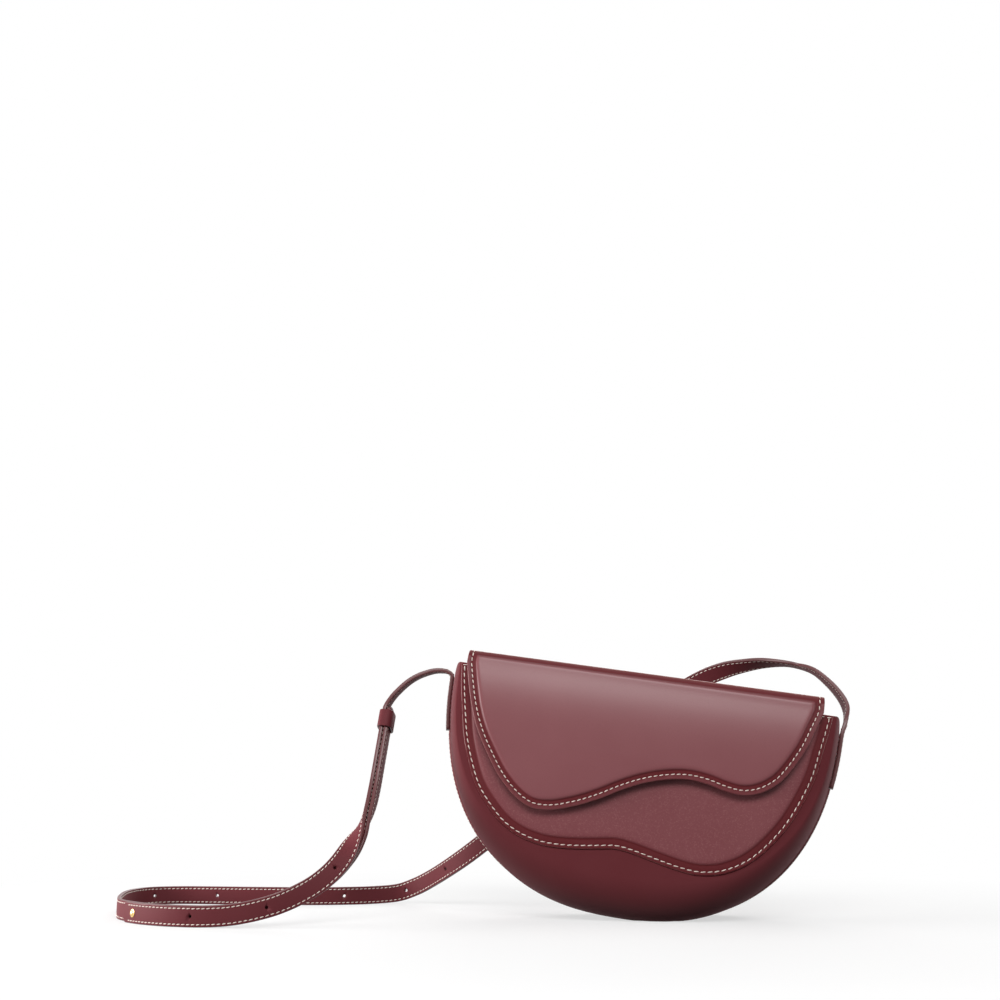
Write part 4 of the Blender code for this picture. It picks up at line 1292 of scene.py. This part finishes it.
wall = grid_on("wall", COLUMNS, MARGIN_STEPS + len(DEPTHS) - 1, wall_place)
wall.data.materials.append(WALL_LEATHER)
wall.data.materials.append(BODY_EDGE)
apply(wall, "SOLIDIFY", thickness=WALL, offset=-1, use_even_offset=True, material_offset_rim=1)
apply(wall, "BEVEL", width=0.5 * MM, segments=2, limit_method="ANGLE", angle_limit=radians(55))
smooth(wall)
from_front = [vertex.co.y - FRONT for vertex in wall.data.vertices]
# The band of wall next to the panel is darkened through the pressed tag: painted shade from the panel's edge.
tag(wall, "pressed_and_painted_shade", [0.35 * (1 - smoothstep(2 * MM, 12 * MM, gone)) for gone in from_front])
stand(wall)
settle(wall, "bag", "gusset", "gusset")
lowest = min(vertex.co.z for vertex in wall.data.vertices)
print("wall:", len(wall.data.polygons), "faces, lowest point %.2f mm" % (lowest / MM))

# %% [markdown]
# ## Stitches on the flange
#
# The wall and the back panel are sewn together at the very edge of the flange. From the front the seam
# shows as a fine pale line along the outline. Stitches that would come under the bag are left out.

# %% Sew the flange
FLANGE_SEAM_DEPTH, FLANGE_SEAM_CLEAR, FLOOR_CLEAR, SEAM_STEPS = 0.972, 4 * MM, 2 * MM, 400


def wall_seam(depth, clear):
    """Stitch spots round the wall at a depth, clear of both ends and of the floor."""
    line = [wall_point(step / SEAM_STEPS, depth) for step in range(SEAM_STEPS + 1)]
    count = int((length(line) - 2 * clear) / STITCH_PITCH)
    spots = []
    for i, share in walk(line, [clear + (k + 0.5) * STITCH_PITCH for k in range(count)]):
        here, round_d, _, out = wall_frame((i + share) / SEAM_STEPS, depth)
        if (STANCE @ here).z > FLOOR_CLEAR:
            spots.append((STANCE @ here, TURN @ round_d, TURN @ out))
    return spots


sew("flange_stitches", wall_seam(FLANGE_SEAM_DEPTH, FLANGE_SEAM_CLEAR), "bag", "gusset")

# %% [markdown]
# ## The back panel
#
# The back is one flat piece of the same leather, cut to the outline of the flange, with two shoulders
# and a straight top edge under the flap's lap. Its edge is rounded and painted, and the flange's seam
# shows on it a little inside the edge.

# %% Model and sew the back
def pressed_d(inset, angles):
    """The outline of the back, moved in, and pressed flat on the bottom."""
    curve = []
    for angle in angles:
        x, z = d_point(BACK_HALF_WIDTH - inset, BACK_DROP - inset, BACK_EXPONENT, angle)
        curve.append(Vector(pressed_up(x, z, inset)))
    return curve


HINGE_HALF_WIDTH, HINGE_RISE, SHOULDER_DROP, BACK = 105 * MM, 2 * MM, 6 * MM, 2.2 * MM
BACK_BORDER_RINGS, BACK_SEAM_INSET = ((1.2, 0), (0.4, -0.12), (0.4, 0.12), (5.0, 0)), 2.2 * MM
shoulder = asin((SHOULDER_DROP / BACK_DROP) ** (BACK_EXPONENT / 2))
back_curve = pressed_d(0.0, [shoulder + (pi - 2 * shoulder) * step / 240 for step in range(241)])
hinge_ends = [Vector((side * HINGE_HALF_WIDTH, HINGE_RISE)) for side in (1, -1)]
back_outline = open_corners([Vector((-p.x, p.y)) for p in closed(back_curve, hinge_ends)], 8 * MM)
back = plate("back", back_outline, BACK - 0.5 * MM, ROUNDED_EDGE + BACK_BORDER_RINGS)
back.data.materials.append(WALL_LEATHER)
back_distance = near_edge(back_outline)
paint_edge(back, BODY_EDGE, cut_edge(back_distance))
tag(back, "pressed_and_painted_shade", [0.0] * len(back.data.vertices))
fit_plate(back, BACK_EDGE + 0.1 * MM, TO_BACK, "back_panel")
back_seam = moved_in(back_curve, BACK_SEAM_INSET)
back_face = upright(BACK_EDGE + 0.2 * MM + BACK - THREAD_SINK, 1)
back_spots = spots_on(back_seam[3:-3], back_face, PANEL_PITCH)
sew("back_stitches", back_spots, "bag", "back_panel", PANEL_STRETCH)

# %% [markdown]
# ## Linings and the slip pocket
#
# The inside is lined with thin suede: one strip along the wall, one plate in front, one behind, and a
# slip pocket sewn on the back one along its sides and bottom. They show only when the flap is lifted.

# %% Line the inside
SUEDE = 0.8 * MM


def suede_plate(name, node, outline, front):
    rings = ((0.08, 0.15), (0.20, 0.10), (1.5, 0))
    piece = plate(name, open_corners(outline, 2 * MM), SUEDE - 0.25 * MM, rings)
    piece.data.materials.append(LINING)
    fit_plate(piece, front + SUEDE, TO_FRONT, node)


arc = [pi * step / 160 for step in range(161)]
front_curve = [d_point(RIM_HALF_WIDTH - WALL, FRONT_DROP - WALL, FRONT_EXPONENT, angle) for angle in arc]
suede_plate("front_suede", "front_lining", front_curve, FRONT + WALL + SEAM)
LINING_INSET = FLANGE + WALL + SUEDE + 3 * SEAM
suede_plate("back_suede", "back_lining", pressed_d(LINING_INSET, arc), BACK_EDGE - SUEDE)
POCKET_HALF_WIDTH, POCKET_HEIGHT, POCKET_TOP, POCKET_CORNER = 62 * MM, 68 * MM, 30 * MM, 12 * MM
pocket_line = [Vector((-POCKET_HALF_WIDTH, -POCKET_TOP))]
corner_x, foot = POCKET_HALF_WIDTH - POCKET_CORNER, -POCKET_TOP - POCKET_HEIGHT + POCKET_CORNER
for centre_x, first in ((-corner_x, pi), (corner_x, 1.5 * pi)):
    for step in range(11):
        angle = first + pi / 2 * step / 10
        pocket_line.append(Vector((centre_x + POCKET_CORNER * cos(angle), foot + POCKET_CORNER * sin(angle))))
pocket_line.append(Vector((POCKET_HALF_WIDTH, -POCKET_TOP)))
pocket_y = BACK_EDGE - 2 * SUEDE - SEAM
suede_plate("pocket_suede", "slip_pocket", pocket_line, pocket_y)
pocket_spots = spots_on(moved_in(pocket_line, 2 * MM), upright(pocket_y, -1), STITCH_PITCH)
sew("pocket_stitches", pocket_spots, "bag", "slip_pocket")
lining_depths = [depth for depth in DEPTHS if 0.05 < depth < 0.96]


def lining_place(column, row):
    return wall_point(1 - column / LINING_COLUMNS, lining_depths[row])


wall_suede = grid_on("wall_suede", LINING_COLUMNS, len(lining_depths) - 1, lining_place)
wall_suede.data.materials.append(LINING)
apply(wall_suede, "SOLIDIFY", thickness=SUEDE, offset=-(2 * (WALL + SEAM) / SUEDE + 1), use_even_offset=True)
smooth(wall_suede)
stand(wall_suede)
settle(wall_suede, "bag", "gusset_lining", "gusset_lining")
print("lining of the wall:", len(wall_suede.data.polygons), "faces")

# %% [markdown]
# ## The keeper
#
# The keeper is a short leather loop round both straps. It is one closed band of four rings: the outer
# face is a rounded oval, the bore is a flatter rounded rectangle that clears the straps, and the two
# ends join them. The ends are painted and their edges softened. It keeps its own body, because it
# slides.

# %% Model the keeper
KEEPER_LENGTH, KEEPER_WALL, KEEPER_CLEARANCE, KEEPER_DROP = 11 * MM, 1.5 * MM, 0.5 * MM, 8.5 * MM
KEEPER_SIDES, OUTER_ROUNDNESS, BORE_ROUNDNESS = 96, 0.62, 0.22
bore_x = STRAP_WIDTH / 2 + KEEPER_CLEARANCE
bore_y = STRAP + STRAP_GAP / 2 + KEEPER_CLEARANCE


def keeper_ring(thickness, roundness, end):
    """Points round a rounded rectangle, outside the bore by a thickness, at the lower or upper end."""
    ring = []
    for i in range(KEEPER_SIDES):
        angle = 2 * pi * i / KEEPER_SIDES
        x = (bore_x + thickness) * signed_power(cos(angle), roundness)
        y = (bore_y + thickness) * signed_power(sin(angle), roundness)
        ring.append((x, y, end * KEEPER_LENGTH / 2))
    return ring


keeper_points = keeper_ring(KEEPER_WALL, OUTER_ROUNDNESS, -1) + keeper_ring(KEEPER_WALL, OUTER_ROUNDNESS, 1)
keeper_points += keeper_ring(0, BORE_ROUNDNESS, 1) + keeper_ring(0, BORE_ROUNDNESS, -1)
keeper_faces = []
for ring in range(4):
    low, high = ring * KEEPER_SIDES, (ring + 1) % 4 * KEEPER_SIDES
    for i in range(KEEPER_SIDES):
        j = (i + 1) % KEEPER_SIDES
        keeper_faces.append((low + i, low + j, high + j, high + i))
keeper_mesh = bpy.data.meshes.new("strap_keeper")
keeper_mesh.from_pydata(keeper_points, [], keeper_faces)
keeper = put(keeper_mesh)
keeper.data.materials.append(STRAP_LEATHER)
paint_edge(keeper, STRAP_EDGE, lambda face: abs(face.normal.z) > 0.9)
apply(keeper, "BEVEL", width=0.4 * MM, segments=3, limit_method="ANGLE", angle_limit=radians(60))
centre, along, across, normal = frame_at(double, KEEPER_DROP)
keeper.data.transform(axes_at(centre, across, normal, across.cross(normal)))
smooth(keeper)
settle(keeper, "keeper", "keeper", "keeper")
print("keeper:", len(keeper.data.polygons), "faces")

# %% [markdown]
# ## The screw stud
#
# The stud is turned brass: a low dome with a small step round it on the outside, and a plain disc on the
# inside. A profile is spun round its axis, as on a lathe.

# %% Turn the stud
def lathe(name, profile_points, matrix, finish):
    mesh = bpy.data.meshes.new(name)
    edges = [(i, i + 1) for i in range(len(profile_points) - 1)]
    mesh.from_pydata([(x, 0, z) for x, z in profile_points], edges, [])
    piece = put(mesh)
    edit(piece)
    bpy.ops.mesh.spin(steps=40, angle=2 * pi, center=(0, 0, 0), axis=(0, 0, 1))
    bpy.ops.mesh.select_all(action="SELECT")
    bpy.ops.mesh.remove_doubles(threshold=0.01 * MM)
    bpy.ops.mesh.normals_make_consistent(inside=False)
    leave()
    piece.data.materials.append(finish)
    piece.data.transform(matrix)
    smooth(piece, 35)
    return piece


STUD_RADIUS = 2.4 * MM
centre, along, across, normal = frame_at(short_frames, stud_place)
outwards = -normal
foot = centre + outwards * (STRAP / 2 + 0.05 * MM)
stud_matrix = axes_at(foot, across, outwards.cross(across), outwards)
through = -(2 * STRAP + STRAP_GAP + 0.1 * MM)
head_profile = [(0.0, 1.35 * MM)]
head_profile += [(1.75 * MM * sin(a), 0.55 * MM + 0.80 * MM * cos(a)) for a in (0.3, 0.6, 0.9, 1.2, 1.5)]
head_profile += [(1.80 * MM, 0.50 * MM), (2.20 * MM, 0.50 * MM), (2.36 * MM, 0.42 * MM)]
head_profile += [(STUD_RADIUS, 0.28 * MM), (STUD_RADIUS, 0.0), (STUD_SHAFT, 0.0), (STUD_SHAFT, through)]
head_profile += [(0.0, through)]
stud_front = lathe("stud_dome", head_profile, stud_matrix, BRASS)
back_profile = [(0.0, through - 0.1 * MM), (2.2 * MM, through - 0.1 * MM), (STUD_RADIUS, through - 0.25 * MM),
                (STUD_RADIUS, through - 0.8 * MM), (2.2 * MM, through - 1.0 * MM), (0.0, through - 1.05 * MM)]
stud_rear = lathe("stud_disc", back_profile, stud_matrix, BRASS)
settle(stud_front, "bag", "stud_head", "stud_head")
settle(stud_rear, "bag", "stud_back", "stud_back")
short_path = [tuple(frame[0]) for frame in short_frames]
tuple(short_path[0])
length_of(short_frames)

# %% [markdown]
# ## Floor, background and light
#
# The product stands on white. The floor and the background are white to the camera and in reflections,
# and dark for the light that they give back, so the round bottom stays dark as in the photograph. Near
# the bag the floor is partly matte and keeps its shadow, and further off it glows plain white. One
# large soft lamp hangs above the front and draws the bright band below the fold, and two behind light
# the top and the back. A low soft lamp on each side gives the curved wall its sheen, the left one more.

# %% Light the scene
def white_to_camera(tree):
    """1 for what the camera sees, directly or in a shiny or clear surface, and 0 for the light."""
    rays = tree.nodes.new("ShaderNodeLightPath").outputs
    straight, glossy, clear = (Shade(tree, rays["Is %s Ray" % kind])
                               for kind in ("Camera", "Glossy", "Transmission"))
    return straight.math("MAXIMUM", straight.math("MAXIMUM", straight, glossy), clear)


BACKGROUND_LIGHT, FLOOR_DARK, FLOOR_WHITE = 0.075, (0.03, 0.025, 0.025), (0.97, 0.97, 0.97)
world = bpy.data.worlds.new("studio")
world.use_nodes = True
bpy.context.scene.world = world
background = world.node_tree.nodes["Background"]
background.inputs["Color"].default_value = (1, 1, 1, 1)
strength = world.node_tree.nodes.new("ShaderNodeMapRange")
strength.inputs["To Min"].default_value = BACKGROUND_LIGHT
strength.inputs["To Max"].default_value = 1.0
feed(world.node_tree, strength.inputs["Value"], white_to_camera(world.node_tree))
world.node_tree.links.new(strength.outputs[0], background.inputs["Strength"])

floor_work = Finish("white_floor")
floor_seen = white_to_camera(floor_work.tree)
floor_colour = floor_work.mix(floor_seen, FLOOR_DARK, FLOOR_WHITE)
floor_matte = floor_work.add("ShaderNodeBsdfDiffuse", Color=floor_colour)
floor_glow = floor_work.add("ShaderNodeEmission", Color=(1, 1, 1, 1), Strength=1.0)
floor_reach = floor_work.add("ShaderNodeVectorMath", {"operation": "LENGTH"}, output=1, _0=floor_work.place)
SHADOW_REACH, GLOW_RISE, NEAR_GLOW = 0.25, 3.2, 0.6
glow = floor_seen * (((floor_reach - SHADOW_REACH) * GLOW_RISE).clamped() * (1 - NEAR_GLOW) + NEAR_GLOW)
floor_blend = floor_work.add("ShaderNodeMixShader", Fac=glow, _1=floor_matte, _2=floor_glow)
floor_finish = floor_work.close(floor_blend)
deselect()
bpy.ops.mesh.primitive_plane_add(size=1.3, location=(-0.05, -0.05, 0))
floor = bpy.context.object
floor.name = "floor"
floor.data.materials.append(floor_finish)


def lamp(name, place, size, power):
    data = bpy.data.lights.new(name, "AREA")
    data.shape = "RECTANGLE"
    data.size, data.size_y = size
    data.energy = power
    light = put(data)
    light.location = place
    light.rotation_euler = (MIDDLE - Vector(place)).to_track_quat("-Z", "Y").to_euler()


MIDDLE = Vector((-0.02, 0, 0.08))
lamp("soft_front", (0.05, -1.00, 0.68), (0.9, 0.4), 10.2)
lamp("high_back", (0.0, 0.15, 1.1), (1.0, 0.6), 2.6)
lamp("soft_back", (0.1, 1.10, 0.60), (1.0, 0.5), 8)
lamp("left_strip", (-0.94, -0.20, 0.11), (0.5, 0.5), 12)
lamp("right_strip", (0.95, -0.02, 0.06), (0.5, 0.4), 2.5)
bpy.context.scene.view_settings.view_transform = "Standard"
